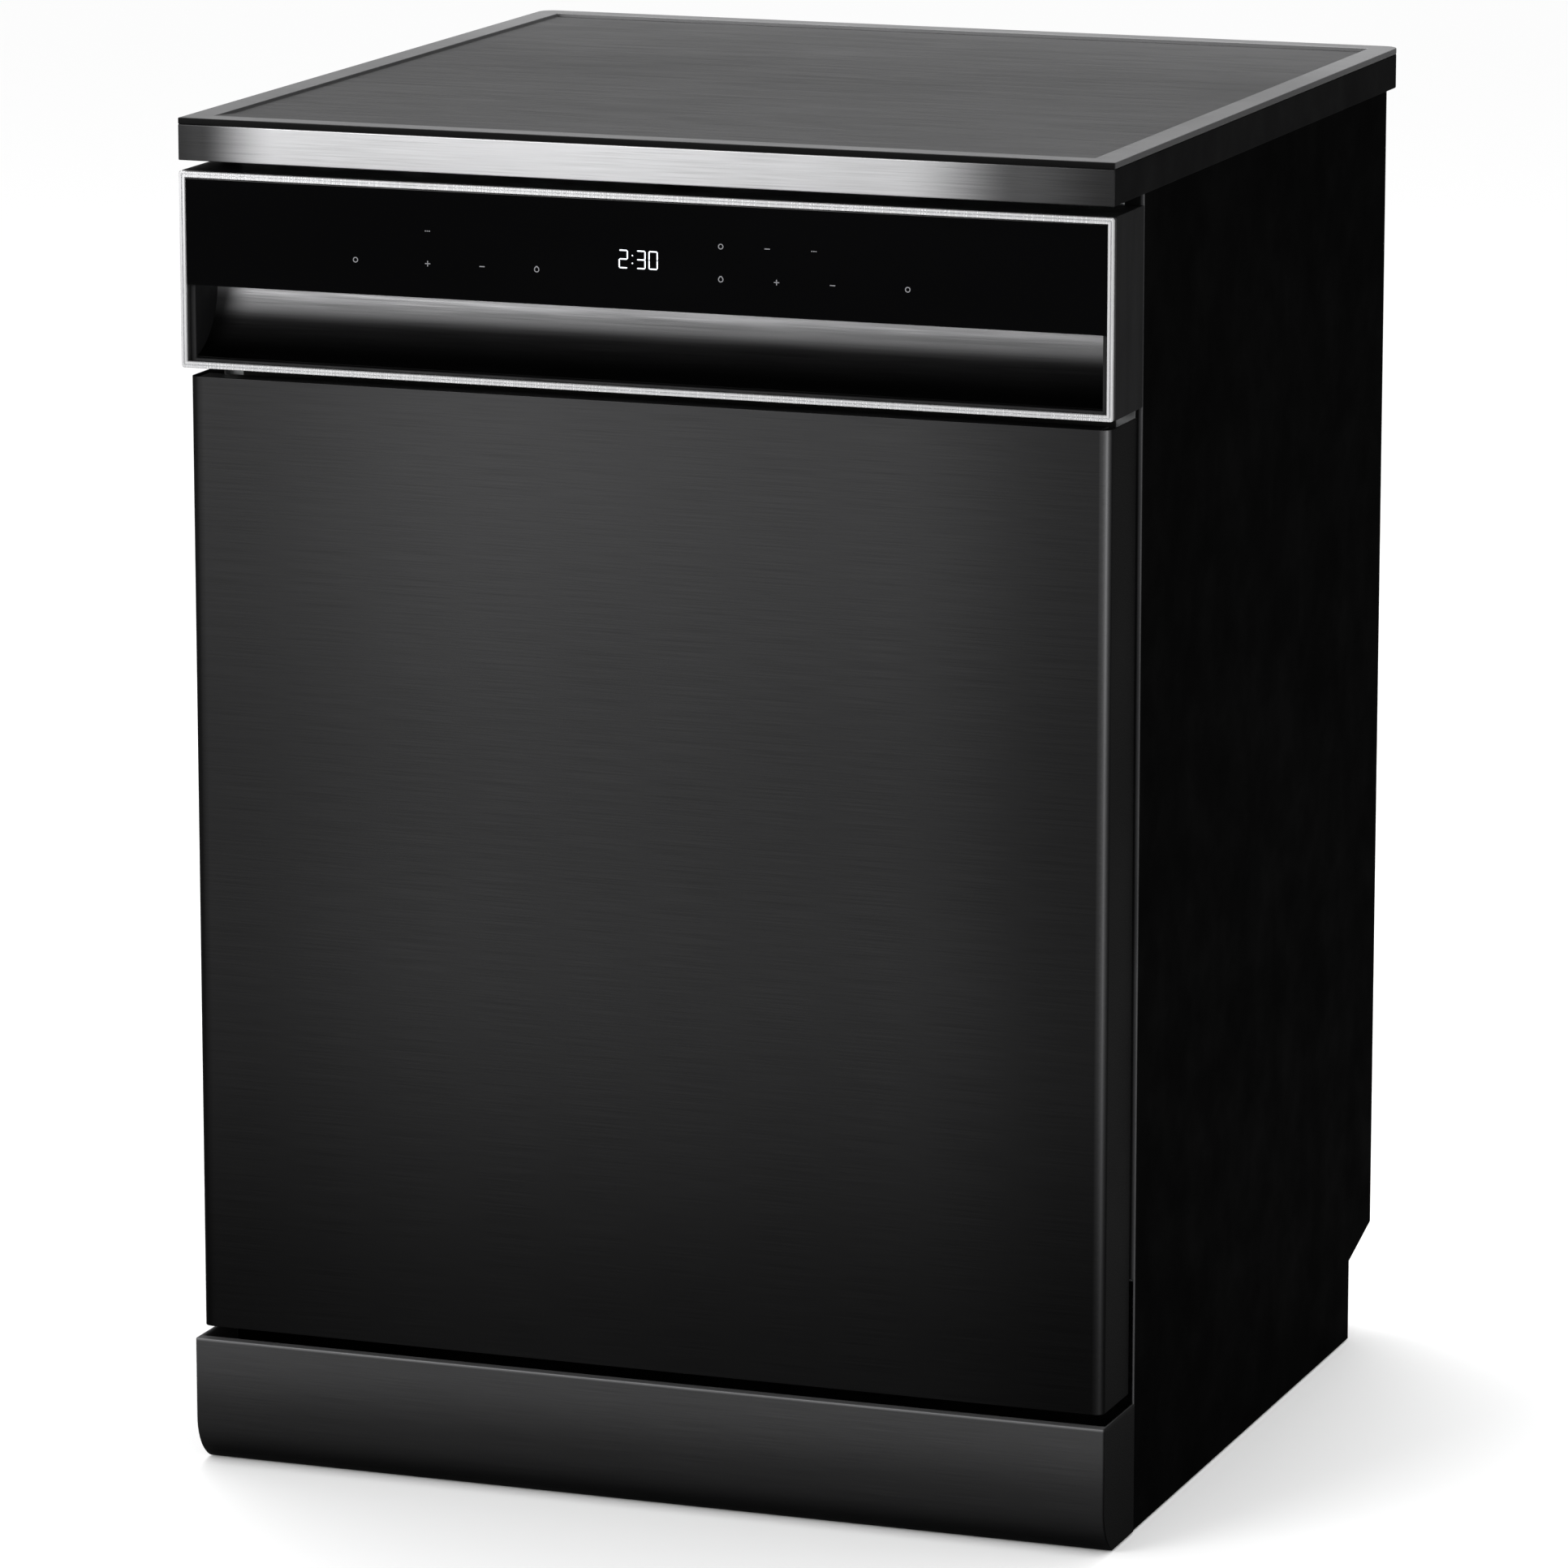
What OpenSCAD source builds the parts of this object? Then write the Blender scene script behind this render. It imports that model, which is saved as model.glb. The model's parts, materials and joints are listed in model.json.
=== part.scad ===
// Free-standing dishwasher of the 600 mm class: worktop, cabinet, plinth, drop-down door with a
// handle pocket, steel tub, two pull-out baskets, three spray arms and the water works below.
// Origin: middle of the footprint at floor level. +X right seen from the front, +Y back, +Z up.

/* [Overall] */
// Width of the worktop, fascia and plinth
body_w = 598; // [480:1:740]
// Depth of the worktop from front edge to back edge
body_d = 600; // [540:1:740]
// Height to the top of the worktop
body_h = 850; // [760:1:1040]

/* [Worktop] */
// Thickness of the whole worktop
worktop_t = 26; // [18:0.5:40]
// Thickness of the worktop's top sheet
sheet_top_t = 4; // [3.5:0.5:6]
// Thickness of the steel strip on the front edge
trim_t = 2; // [1:0.5:4]
// Width of the raised rim round the recessed top
rim_w = 17; // [8:1:30]
// Depth of the recess in the top sheet
recess_depth = 2.5; // [1:0.5:3]
// Distance from the front edge to the full depth of the recess
recess_start = 45; // [25:1:80]
// Length of the ramp at the front of the recess
recess_ramp = 30; // [10:1:60]
// Radius of the worktop's rear corners
worktop_corner_r = 10; // [2:1:30]
// Overhang of the worktop behind the cabinet
rear_overhang = 26; // [10:1:60]

/* [Cabinet] */
// Steel sheet thickness of the panels
sheet_t = 1; // [0.6:0.1:2]
// Step from the worktop's side to the side panel
side_inset = 1; // [0.5:0.5:5]
// Width of the folded front edge of a side panel
flange_w = 12; // [6:1:12.5]
// Height of the cabinet above the floor
ground_gap = 1; // [0.5:0.5:3]
// Depth of the hose recess at the lower rear
rear_notch_d = 49; // [20:1:80]
// Height of the hose recess at its inner edge
rear_notch_z = 54; // [40:1:90]
// Rise of the recess's sloping top
rear_notch_rise = 15; // [0:1:40]

/* [Plinth] */
// Height of the plinth
plinth_h = 82; // [70:1:84]
// Gap between plinth and door
plinth_gap = 7; // [4:1:16]
// Thickness of the plinth's front sheet
plinth_t = 3; // [2:0.5:5]
// Distance that the plinth's lower edge tucks back
plinth_tuck = 18; // [8:1:28]
// Height of the tucked, curved stretch
plinth_curve_h = 30; // [15:1:50]

/* [Fascia] */
// Height of the control fascia
fascia_h = 121; // [100:1:160]
// Depth of the fascia and of the door behind it
fascia_d = 58; // [50:1:80]
// Gap between worktop and fascia
worktop_gap = 6.5; // [3:0.5:12]
// Width of the bright frame round the fascia
frame_w = 4; // [2:0.5:8]
// Depth of the bright frame
frame_t = 5; // [3:0.5:8]
// Height of the handle pocket above the fascia's lower edge
pocket_h = 51; // [40:1:60]
// Radius of the handle pocket's hollow
pocket_r = 44; // [30:1:46]

/* [Door] */
// Step from the fascia's front back to the door panel
panel_setback = 5; // [2:0.5:12]
// Step from the fascia's side in to the door panel
panel_inset = 3; // [3:0.5:6]
// Gap between fascia and door panel
panel_gap = 6; // [1:0.5:8]
// Radius of the door panel's upright front edges
panel_edge_r = 6; // [2:0.5:12]
// Gap between the closed door and the cabinet
door_gap = 2; // [1:0.5:5]
// Height of the hinge axis above the floor
hinge_z = 145; // [140:1:155]
// Distance of the hinge axis behind the cabinet's front edge
hinge_back = 5; // [4:0.5:8]
// Radius of the hinge pins
hinge_pin_r = 3.5; // [2.5:0.1:5]
// Radial clearance of every running pin
run_gap = 0.06; // [0.02:0.01:0.1]

/* [Tub] */
// Space between the worktop's side and the tub's inner wall
tub_margin = 26; // [24:1:40]
// Space between the tub's back and the cabinet's back
tub_back_margin = 25; // [20:1:50]
// Space between worktop and tub ceiling
tub_top_margin = 18; // [16:1:40]
// Height of the tub floor above the hinge axis
tub_floor_rise = 7; // [6:0.5:12]
// Depth of the dish in the tub floor
dish_depth = 12; // [8:1:14]
// Radius of the sump opening
sump_r = 96; // [90:1:110]
// Radius of the dish
dish_r = 200; // [180:1:205]

/* [Baskets] */
// Radius of the rim wires
rim_r = 2.5; // [2:0.1:3]
// Radius of the other wires
wire_r = 1.8; // [1.2:0.1:2.2]
// Spacing of the upright wires
upright_pitch = 70; // [40:1:90]
// Spacing of the floor wires
floor_pitch = 45; // [30:1:60]
// Space between tub wall and basket
basket_margin = 26; // [26:1:34]
// Height of the lower basket's floor wires
lower_floor_z = 203; // [200:1:215]
// Height of the lower basket's sides
lower_basket_h = 100; // [60:1:140]
// Height of the upper basket's floor wires
upper_floor_z = 492; // [480:1:520]
// Height of the upper basket's sides
upper_basket_h = 108; // [80:1:130]
// Height of the plate supports
tine_h = 78; // [50:1:90]
// Radius of the lower basket's wheels
wheel_r = 17; // [15:0.5:19]

/* [Spray arms] */
// Reach of the lower spray arm
lower_arm_r = 212; // [150:1:214]
// Reach of the upper spray arm
upper_arm_r = 200; // [150:1:205]
// Thickness of a spray arm
arm_t = 13; // [8:1:15]

/* [Hidden] */
$fn = 48;

// Planes of the cabinet and the door
half_w = body_w / 2;
front_y = -body_d / 2;
back_y = body_d / 2;
worktop_z = body_h - worktop_t;
fascia_z1 = worktop_z - worktop_gap;
fascia_z0 = fascia_z1 - fascia_h;
panel_z0 = plinth_h + plinth_gap;
panel_z1 = fascia_z0 - panel_gap;
panel_y = front_y + panel_setback;
panel_x = half_w - panel_inset;
door_back_y = front_y + fascia_d;
cabinet_y = door_back_y + door_gap;
cabinet_back_y = back_y - rear_overhang;
notch_y = cabinet_back_y - rear_notch_d;
side_x = half_w - side_inset;
inner_x = side_x - sheet_t;
hinge_y = cabinet_y + hinge_back;

// Planes of the tub
tub_x = half_w - tub_margin;
flange_t = 1.5;
gasket_t = 3.7;
tub_front_y = cabinet_y + gasket_t - 0.2;
tub_back_y = cabinet_back_y - tub_back_margin;
tub_mid_y = (tub_front_y + tub_back_y) / 2;
tub_floor_z = hinge_z + tub_floor_rise;
tub_top_z = worktop_z - tub_top_margin;
tub_sheet = 1;
tub_corner_r = 28;
floor_t = 2;
dish_z = tub_floor_z - dish_depth;

// Clearances that several pieces share
weld_gap = 0.1;
touch_gap = 0.3;

// Baskets, rails and arms
basket_x = tub_x - basket_margin;
basket_y0 = tub_front_y + 14.5;
lower_y1 = tub_back_y - 23;
upper_y1 = tub_back_y - 34;
lower_top_z = lower_floor_z + lower_basket_h;
upper_top_z = upper_floor_z + upper_basket_h;
rail_z = upper_floor_z + 48;
rail_y0 = tub_front_y + 8.5;
rail_y1 = tub_back_y - 29;
rail_t = 1.2;
rail_gap = 0.6;
upper_arm_z = upper_floor_z - 37;
lower_arm_z = tub_floor_z + 16;
top_arm_z = tub_top_z - 22;
feed_r = 9;
feed_z = upper_floor_z - wire_r - feed_r - 1;
pipe_y0 = tub_back_y - 17;
post_r = 10;

// Wheels
wheel_t = 8;
wheel_pin_r = 3;
wheel_z = tub_floor_z + wheel_r + touch_gap;
wheel_x0 = basket_x + 4;
wheel_front_y = tub_mid_y - 130;
wheel_rear_y = lower_y1 - 41;

// Dispenser in the door liner
liner_t = 1;
liner_field = 6;
dispenser_x0 = -75;
dispenser_w = 170;
dispenser_h = 100;
dispenser_z0 = 368;
cup_x0 = dispenser_x0 + 10;
cup_w = 62;
cup_h = 72;
lid_t = 2;
cap_r = 13;
cap_x = dispenser_x0 + dispenser_w - 23;
cap_z = dispenser_z0 + dispenser_h / 2;

// Filters, softener and cap
filter_r = 34;
filter_x = 35;
filter_y = tub_mid_y - 35;
salt_x = -(tub_x - 68);
salt_y = tub_mid_y + 144;
salt_r = 31;
salt_neck_r = 27;

// Connections in the hose recess
inlet_x = 180;
inlet_z = 34;
inlet_neck_r = 11;
drain_x = -130;
drain_neck_r = 9;
drain_spigot_r = 10;

// Door latch
latch_w = 30;
tongue_z = fascia_z1 - 2;

// A box given by its low corner and its high corner
module span(low, high) {
    translate(low) cube(high - low);
}

// The same piece on the right and, mirrored, on the left
module both_sides() {
    children();
    mirror([1, 0, 0]) children();
}

// Round rods along the three axes
module rod_x(x0, x1, y, z, r) {
    translate([x0, y, z]) rotate([0, 90, 0]) cylinder(h = x1 - x0, r = r);
}

module rod_y(y0, y1, x, z, r) {
    translate([x, y0, z]) rotate([-90, 0, 0]) cylinder(h = y1 - y0, r = r);
}

module rod_z(z0, z1, x, y, r) {
    translate([x, y, z0]) cylinder(h = z1 - z0, r = r);
}

// A Y-Z outline run from x0 to x1
module run_x(x0, x1) {
    translate([x0, 0, 0]) rotate([90, 0, 90]) linear_extrude(x1 - x0) children();
}

// An X-Z outline run from y0 to y1
module run_y(y0, y1) {
    translate([0, y1, 0]) rotate([90, 0, 0]) linear_extrude(y1 - y0) children();
}

// Rectangle between two corners
module rect(low, high) {
    translate(low) square(high - low);
}

// Rectangle centred on X whose two corners at the high end are round
module round_top_rect(hw, v0, v1, r) {
    rect([-hw, v0], [hw, v1 - r]);
    rect([-hw + r, v1 - r - 0.01], [hw - r, v1]);
    for (s = [-1, 1]) translate([s * (hw - r), v1 - r]) circle(r);
}

// ---- Worktop -------------------------------------------------------------------------------

// Worktop outline seen from above, square in front and rounded at the back
module worktop_outline(y0) {
    round_top_rect(half_w, y0, back_y, worktop_corner_r);
}

module worktop_core() {
    core_z1 = body_h - sheet_top_t;
    color([0.03, 0.03, 0.03]) translate([0, 0, worktop_z])
        linear_extrude(core_z1 - worktop_z) worktop_outline(front_y + trim_t);
}

module worktop_top() {
    sheet_z0 = body_h - sheet_top_t;
    floor_z = body_h - recess_depth;
    recess_y = front_y + recess_start;
    color([0.3, 0.3, 0.3]) difference() {
        translate([0, 0, sheet_z0]) linear_extrude(sheet_top_t) worktop_outline(front_y);
        run_x(-half_w + rim_w, half_w - rim_w)
            polygon([
                [recess_y - recess_ramp, body_h],
                [recess_y, floor_z],
                [back_y - rim_w, floor_z],
                [back_y - rim_w, body_h + 1],
                [recess_y - recess_ramp, body_h + 1]
            ]);
    }
}

module worktop_trim() {
    color([0.75, 0.75, 0.76])
        span([-half_w, front_y, worktop_z], [half_w, front_y + trim_t, body_h - sheet_top_t]);
}

// ---- Cabinet -------------------------------------------------------------------------------

// Side view of the cabinet with the hose recess at the lower rear
module side_outline() {
    polygon([
        [cabinet_y, ground_gap],
        [notch_y, ground_gap],
        [notch_y, rear_notch_z],
        [cabinet_back_y, rear_notch_z + rear_notch_rise],
        [cabinet_back_y, worktop_z],
        [cabinet_y, worktop_z]
    ]);
}

// One side sheet with its front edge folded inwards above the hinge
module side_panel() {
    fold_z0 = tub_floor_z + 8;
    color([0.02, 0.02, 0.02]) {
        run_x(inner_x, side_x) side_outline();
        span([side_x - flange_w, cabinet_y, fold_z0], [inner_x, cabinet_y + sheet_t, worktop_z]);
    }
}

module left_side_panel() {
    mirror([1, 0, 0]) side_panel();
}

module right_side_panel() {
    side_panel();
}

module rear_panel() {
    y1 = cabinet_back_y;
    z0 = rear_notch_z + rear_notch_rise;
    vent_w = 4;
    vent_pitch = 12;
    color([0.18, 0.18, 0.18]) difference() {
        run_x(-inner_x, inner_x)
            polygon([
                [notch_y, rear_notch_z],
                [y1, z0],
                [y1, worktop_z],
                [y1 - sheet_t, worktop_z],
                [y1 - sheet_t, z0 + sheet_t],
                [notch_y, rear_notch_z + sheet_t]
            ]);
        for (i = [0:9])
            span([40 + i * vent_pitch, y1 - 5, z0 + 20], [40 + i * vent_pitch + vent_w, y1 + 1, z0 + 60]);
    }
}

module top_crossmember() {
    rail_d = 34;
    y0 = tub_front_y + flange_t + 0.5;
    color([0.6, 0.6, 0.62]) difference() {
        span([-inner_x, y0, worktop_z - 12], [inner_x, y0 + rail_d, worktop_z]);
        span([-inner_x + 3, y0 + 2, worktop_z - 13], [inner_x - 3, y0 + rail_d - 2, worktop_z - 2]);
        span([-latch_w / 2 - touch_gap, y0 - 1, worktop_z - 13],
             [latch_w / 2 + touch_gap, y0 + 3, worktop_z - 2]);
    }
}

// Leak tray that carries the machine, open at the top
module base_tray() {
    wall = 3;
    floor_z = 14;
    front_wall_z = min(48, rear_notch_z - 0.5);
    anchor_y = tub_mid_y + 18;
    color([0.12, 0.12, 0.12]) {
        difference() {
            span([-inner_x, cabinet_y + 3, floor_z], [inner_x, notch_y, front_wall_z]);
            span([-inner_x + wall, cabinet_y + 3 + wall, floor_z + wall],
                 [inner_x - wall, notch_y - wall, front_wall_z + 1]);
            rod_y(notch_y - wall - 1, notch_y + 1, inlet_x, inlet_z, inlet_neck_r + touch_gap);
            rod_y(notch_y - wall - 1, notch_y + 1, drain_x, inlet_z, drain_neck_r + touch_gap);
        }
        both_sides() span([side_x - 22, anchor_y, floor_z + wall], [inner_x - wall, anchor_y + 6, hinge_z]);
    }
}

// Plinth: upright sheet whose lower edge curls back, with a return at each end
module plinth() {
    bend_r = (plinth_curve_h * plinth_curve_h + plinth_tuck * plinth_tuck) / (2 * plinth_tuck);
    bend = [front_y + bend_r, plinth_curve_h + ground_gap];
    return_t = panel_inset - 1;
    lip_d = 7;
    color([0.16, 0.16, 0.16]) {
        run_x(-half_w + return_t, half_w - return_t) {
            rect([front_y, bend[1]], [front_y + plinth_t, plinth_h]);
            rect([front_y + plinth_t - 0.01, plinth_h - 2], [front_y + lip_d, plinth_h]);
            intersection() {
                difference() {
                    translate(bend) circle(bend_r);
                    translate(bend) circle(bend_r - plinth_t);
                }
                rect([front_y, ground_gap], [front_y + plinth_tuck + 8, bend[1]]);
            }
        }
        both_sides() run_x(half_w - return_t, half_w) {
            rect([front_y, bend[1]], [cabinet_y - touch_gap, plinth_h]);
            intersection() {
                union() {
                    translate(bend) circle(bend_r);
                    rect([bend[0] - 8, ground_gap], [cabinet_y, bend[1]]);
                }
                rect([front_y, ground_gap], [cabinet_y - touch_gap, bend[1] + 0.01]);
            }
        }
        both_sides() span([half_w - 30, front_y + plinth_t, 20], [half_w - 24, cabinet_y + 3, 34]);
    }
}

module feet() {
    foot_r = 19;
    x = inner_x - 34;
    color([0.05, 0.05, 0.05])
        for (sx = [-1, 1], y = [cabinet_y + 34, notch_y - 32]) {
            rod_z(0, 9, sx * x, y, foot_r);
            rod_z(9, 14, sx * x, y, 6);
        }
}

// ---- Tub -----------------------------------------------------------------------------------

// Inner outline of the tub seen from the front
module tub_outline(grow) {
    round_top_rect(tub_x + grow, tub_floor_z - floor_t, tub_top_z + grow, tub_corner_r + grow);
}

module tub_wrap() {
    color([0.7, 0.71, 0.72]) run_y(tub_front_y + flange_t, tub_back_y) difference() {
        tub_outline(tub_sheet);
        tub_outline(0);
    }
}

module tub_back() {
    color([0.7, 0.71, 0.72]) run_y(tub_back_y, tub_back_y + tub_sheet) tub_outline(tub_sheet);
}

// Floor with a shallow dish that drains to the sump opening
module tub_floor() {
    color([0.68, 0.69, 0.7]) {
        difference() {
            span([-tub_x, tub_front_y + flange_t, tub_floor_z - floor_t], [tub_x, tub_back_y, tub_floor_z]);
            rod_z(tub_floor_z - floor_t - 1, tub_floor_z + 1, 0, tub_mid_y, dish_r);
            rod_z(tub_floor_z - floor_t - 1, tub_floor_z + 1, salt_x, salt_y, salt_neck_r + touch_gap);
        }
        translate([0, tub_mid_y, 0]) rotate_extrude()
            polygon([
                [sump_r, dish_z - floor_t],
                [dish_r, tub_floor_z - floor_t],
                [dish_r, tub_floor_z],
                [sump_r, dish_z]
            ]);
    }
}

module tub_flange() {
    z0 = tub_floor_z + 6;
    outer = inner_x - 0.5;
    color([0.66, 0.67, 0.68]) run_y(tub_front_y, tub_front_y + flange_t) {
        difference() {
            rect([-outer, z0], [outer, worktop_z - 1]);
            round_top_rect(tub_x, z0 - 1, tub_top_z, tub_corner_r);
            rect([-10, tongue_z - 2.5], [10, worktop_z]);
        }
        rect([-tub_x, tub_floor_z - floor_t], [tub_x, tub_floor_z]);
    }
}

// Seal round the sides and the top of the tub's mouth
module tub_gasket() {
    gasket_w = 6;
    y0 = door_back_y + touch_gap;
    color([0.08, 0.08, 0.08]) run_y(y0, tub_front_y) difference() {
        round_top_rect(tub_x + 1 + gasket_w, tub_floor_z + 8,
                       tub_top_z + 1 + gasket_w, tub_corner_r + gasket_w);
        round_top_rect(tub_x + 1, tub_floor_z + 7, tub_top_z + 1, tub_corner_r);
    }
}

module insulation_mats() {
    mat_t = tub_margin - side_inset - sheet_t - tub_sheet - 9;
    x0 = tub_x + tub_sheet + touch_gap;
    color([0.1, 0.1, 0.1]) both_sides()
        span([x0, tub_front_y + 90, hinge_z + 30], [x0 + mat_t, tub_back_y - 4, tub_top_z - tub_corner_r]);
}

// ---- Hinges --------------------------------------------------------------------------------

bracket_x = side_x - 14;
bracket_t = 3;
arm_x = bracket_x + bracket_t + 1;
tip_r = 5.5;

// Bracket on the frame that holds the hinge pin
module hinge_brackets() {
    bar_z1 = tub_floor_z;
    post_y = hinge_y + 50;
    color([0.55, 0.55, 0.57]) both_sides() difference() {
        run_x(bracket_x, bracket_x + bracket_t) {
            translate([hinge_y, hinge_z]) circle(tip_r);
            rect([hinge_y, hinge_z - tip_r], [post_y + 20, bar_z1]);
            rect([post_y, bar_z1 - 0.01], [post_y + 20, bar_z1 + 80]);
        }
        rod_x(bracket_x - 1, bracket_x + bracket_t + 1, hinge_y, hinge_z, hinge_pin_r);
    }
}

module hinge_pins() {
    color([0.8, 0.8, 0.8]) both_sides() {
        rod_x(bracket_x - 1, arm_x + bracket_t + 0.5, hinge_y, hinge_z, hinge_pin_r);
        rod_x(bracket_x - 3, bracket_x - 1, hinge_y, hinge_z, tip_r - 0.5);
        rod_x(arm_x + bracket_t + 0.5, arm_x + bracket_t + 2, hinge_y, hinge_z, tip_r - 0.5);
    }
}

// Arm on the door that turns on the pin, with a tail for the counterbalance spring
module hinge_arms() {
    tail = [hinge_y + 10, hinge_z - 15];
    foot_y0 = panel_y + 8;
    color([0.5, 0.5, 0.52]) both_sides() difference() {
        union() {
            run_x(arm_x, arm_x + bracket_t) {
                translate([hinge_y, hinge_z]) circle(tip_r + 0.8);
                rect([foot_y0, hinge_z - tip_r], [hinge_y, hinge_z + tip_r]);
                polygon([
                    [hinge_y - 5, hinge_z],
                    [tail[0] - 4, tail[1] - 1],
                    [tail[0] + 4, tail[1] + 1],
                    [hinge_y + 5, hinge_z]
                ]);
                translate(tail) circle(4);
                rect([foot_y0, hinge_z], [foot_y0 + 30, hinge_z + 150]);
            }
            span([arm_x + bracket_t, foot_y0, hinge_z + 25],
                 [panel_x - sheet_t, foot_y0 + 28, hinge_z + 140]);
        }
        rod_x(arm_x - 1, arm_x + bracket_t + 1, hinge_y, hinge_z, hinge_pin_r + run_gap);
    }
}

// Counterbalance spring and its link, drawn as their outer shape
module door_springs() {
    spring_r = 7.5;
    z = hinge_z - 15;
    x = arm_x - 4;
    y0 = hinge_y + 85;
    y1 = tub_mid_y + 18;
    color([0.6, 0.6, 0.6]) both_sides() {
        rod_y(hinge_y + 6, y0, x + 2.5, z, 1.2);
        rod_y(y0, y1, x, z, spring_r);
    }
}

// ---- Water works ---------------------------------------------------------------------------

module sump() {
    wall = 4;
    floor_z = 74;
    color([0.15, 0.15, 0.16]) {
        difference() {
            union() {
                rod_z(floor_z, dish_z - floor_t - 0.2, 0, tub_mid_y, sump_r - 4);
                rod_z(dish_z - floor_t - 8, dish_z - floor_t - 0.2, 0, tub_mid_y, sump_r + 6);
            }
            rod_z(floor_z + wall, dish_z + 1, 0, tub_mid_y, sump_r - 4 - wall);
        }
        rod_z(floor_z + wall - 0.01, lower_arm_z + arm_t + 4, 0, tub_mid_y, post_r);
        rod_z(lower_arm_z - 4, lower_arm_z - touch_gap, 0, tub_mid_y, post_r + 4);
        rod_z(lower_arm_z + arm_t + touch_gap, lower_arm_z + arm_t + 5, 0, tub_mid_y, post_r + 4);
    }
}

// Perforated plate over the sump
module fine_filter() {
    z0 = dish_z - floor_t;
    color([0.55, 0.56, 0.58]) difference() {
        rod_z(z0, z0 + 2, 0, tub_mid_y, sump_r - 1);
        rod_z(z0 - 1, z0 + 3, 0, tub_mid_y, post_r + touch_gap);
        rod_z(z0 - 1, z0 + 3, filter_x, filter_y, filter_r + touch_gap);
    }
}

// Cup-shaped filter with a grip; a quarter turn unlocks it
module coarse_filter() {
    z0 = 96;
    rim_z = dish_z + touch_gap;
    color([0.45, 0.46, 0.48]) {
        difference() {
            rod_z(z0, rim_z + 3, filter_x, filter_y, filter_r);
            rod_z(z0 + 3, rim_z + 4, filter_x, filter_y, filter_r - 3);
        }
        rod_z(rim_z, rim_z + 3, filter_x, filter_y, filter_r - 2.99);
        span([filter_x - 3, filter_y - 18, rim_z + 3], [filter_x + 3, filter_y + 18, rim_z + 14]);
    }
}

// Space that the sump's round wall takes, kept free by the pumps that join it
module sump_clearance() {
    rod_z(0, dish_z, 0, tub_mid_y, sump_r - 4 + weld_gap);
}

module circulation_pump() {
    x0 = sump_r - 4;
    y = tub_mid_y + 34;
    z = 86;
    color([0.2, 0.2, 0.21]) difference() {
        union() {
            rod_x(x0 + 14, x0 + 52, y, z, 46);
            rod_x(x0 + 52, x0 + 132, y, z, 38);
            rod_x(x0 - 20, x0 + 14.01, y, z, 17);
        }
        sump_clearance();
    }
}

module drain_pump() {
    x1 = -(sump_r - 4);
    y = tub_mid_y - 55;
    z = 90;
    motor_r = 30;
    color([0.22, 0.22, 0.23]) difference() {
        union() {
            rod_x(x1 - 88, x1 - 16, y, z, motor_r);
            rod_x(x1 - 16.01, x1 + 30, y, z, 13);
            rod_z(inlet_z - drain_neck_r, z - motor_r + 1, drain_x, y, drain_neck_r);
            rod_y(y, notch_y + 0.01, drain_x, inlet_z, drain_neck_r);
            rod_y(notch_y, notch_y + 2, drain_x, inlet_z, drain_spigot_r + 4);
            rod_y(notch_y + 2, notch_y + 26, drain_x, inlet_z, drain_spigot_r);
        }
        sump_clearance();
        rod_y(notch_y - 10, notch_y + 27, drain_x, inlet_z, drain_spigot_r - 3);
    }
}

module water_softener() {
    x0 = -inner_x + 6;
    color([0.85, 0.85, 0.83]) {
        span([x0, salt_y - 55, 18], [x0 + 128, salt_y + 48, tub_floor_z - floor_t - 8]);
        rod_z(tub_floor_z - floor_t - 8.01, tub_floor_z - 0.5, salt_x, salt_y, salt_neck_r);
    }
}

module salt_cap() {
    color([0.3, 0.32, 0.34]) {
        rod_z(tub_floor_z + touch_gap, tub_floor_z + 11, salt_x, salt_y, salt_r);
        span([salt_x - 22, salt_y - 3, tub_floor_z + 11], [salt_x + 22, salt_y + 3, tub_floor_z + 15]);
    }
}

module inlet_valve() {
    thread_r = 13.2;
    thread_l = 14;
    color([0.9, 0.9, 0.88]) {
        span([inlet_x - 17, notch_y - 3 - 44, 20], [inlet_x + 17, notch_y - 3.2, 62]);
        difference() {
            union() {
                rod_y(notch_y - 3.21, notch_y + 0.01, inlet_x, inlet_z, inlet_neck_r);
                rod_y(notch_y, notch_y + 2, inlet_x, inlet_z, thread_r + 4);
                rod_y(notch_y + 2, notch_y + 2 + thread_l, inlet_x, inlet_z, thread_r);
            }
            rod_y(notch_y - 2, notch_y + 3 + thread_l, inlet_x, inlet_z, inlet_neck_r - 3);
        }
    }
}

module mains_inlet() {
    x = inlet_x + 60;
    color([0.04, 0.04, 0.04]) difference() {
        union() {
            rod_y(notch_y, notch_y + 5, x, inlet_z, 12);
            rod_y(notch_y + 5, notch_y + 16, x, inlet_z, 8);
        }
        rod_y(notch_y - 1, notch_y + 17, x, inlet_z, 4.5);
    }
}

// Riser up the tub's back, with ports for the upper feed tube and the ceiling sprayer
module supply_pipe() {
    pipe_w = 12;
    top_z0 = tub_top_z - 9;
    color([0.75, 0.76, 0.78]) {
        span([-pipe_w, pipe_y0, tub_floor_z + 6], [pipe_w, tub_back_y, tub_top_z]);
        span([-pipe_w, tub_mid_y - pipe_w, top_z0], [pipe_w, pipe_y0, tub_top_z]);
        rod_z(top_arm_z - 3, top_z0, 0, tub_mid_y, 7);
        rod_z(top_arm_z - 5, top_arm_z - touch_gap, 0, tub_mid_y, 11);
    }
}

// ---- Spray arms ----------------------------------------------------------------------------

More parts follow.
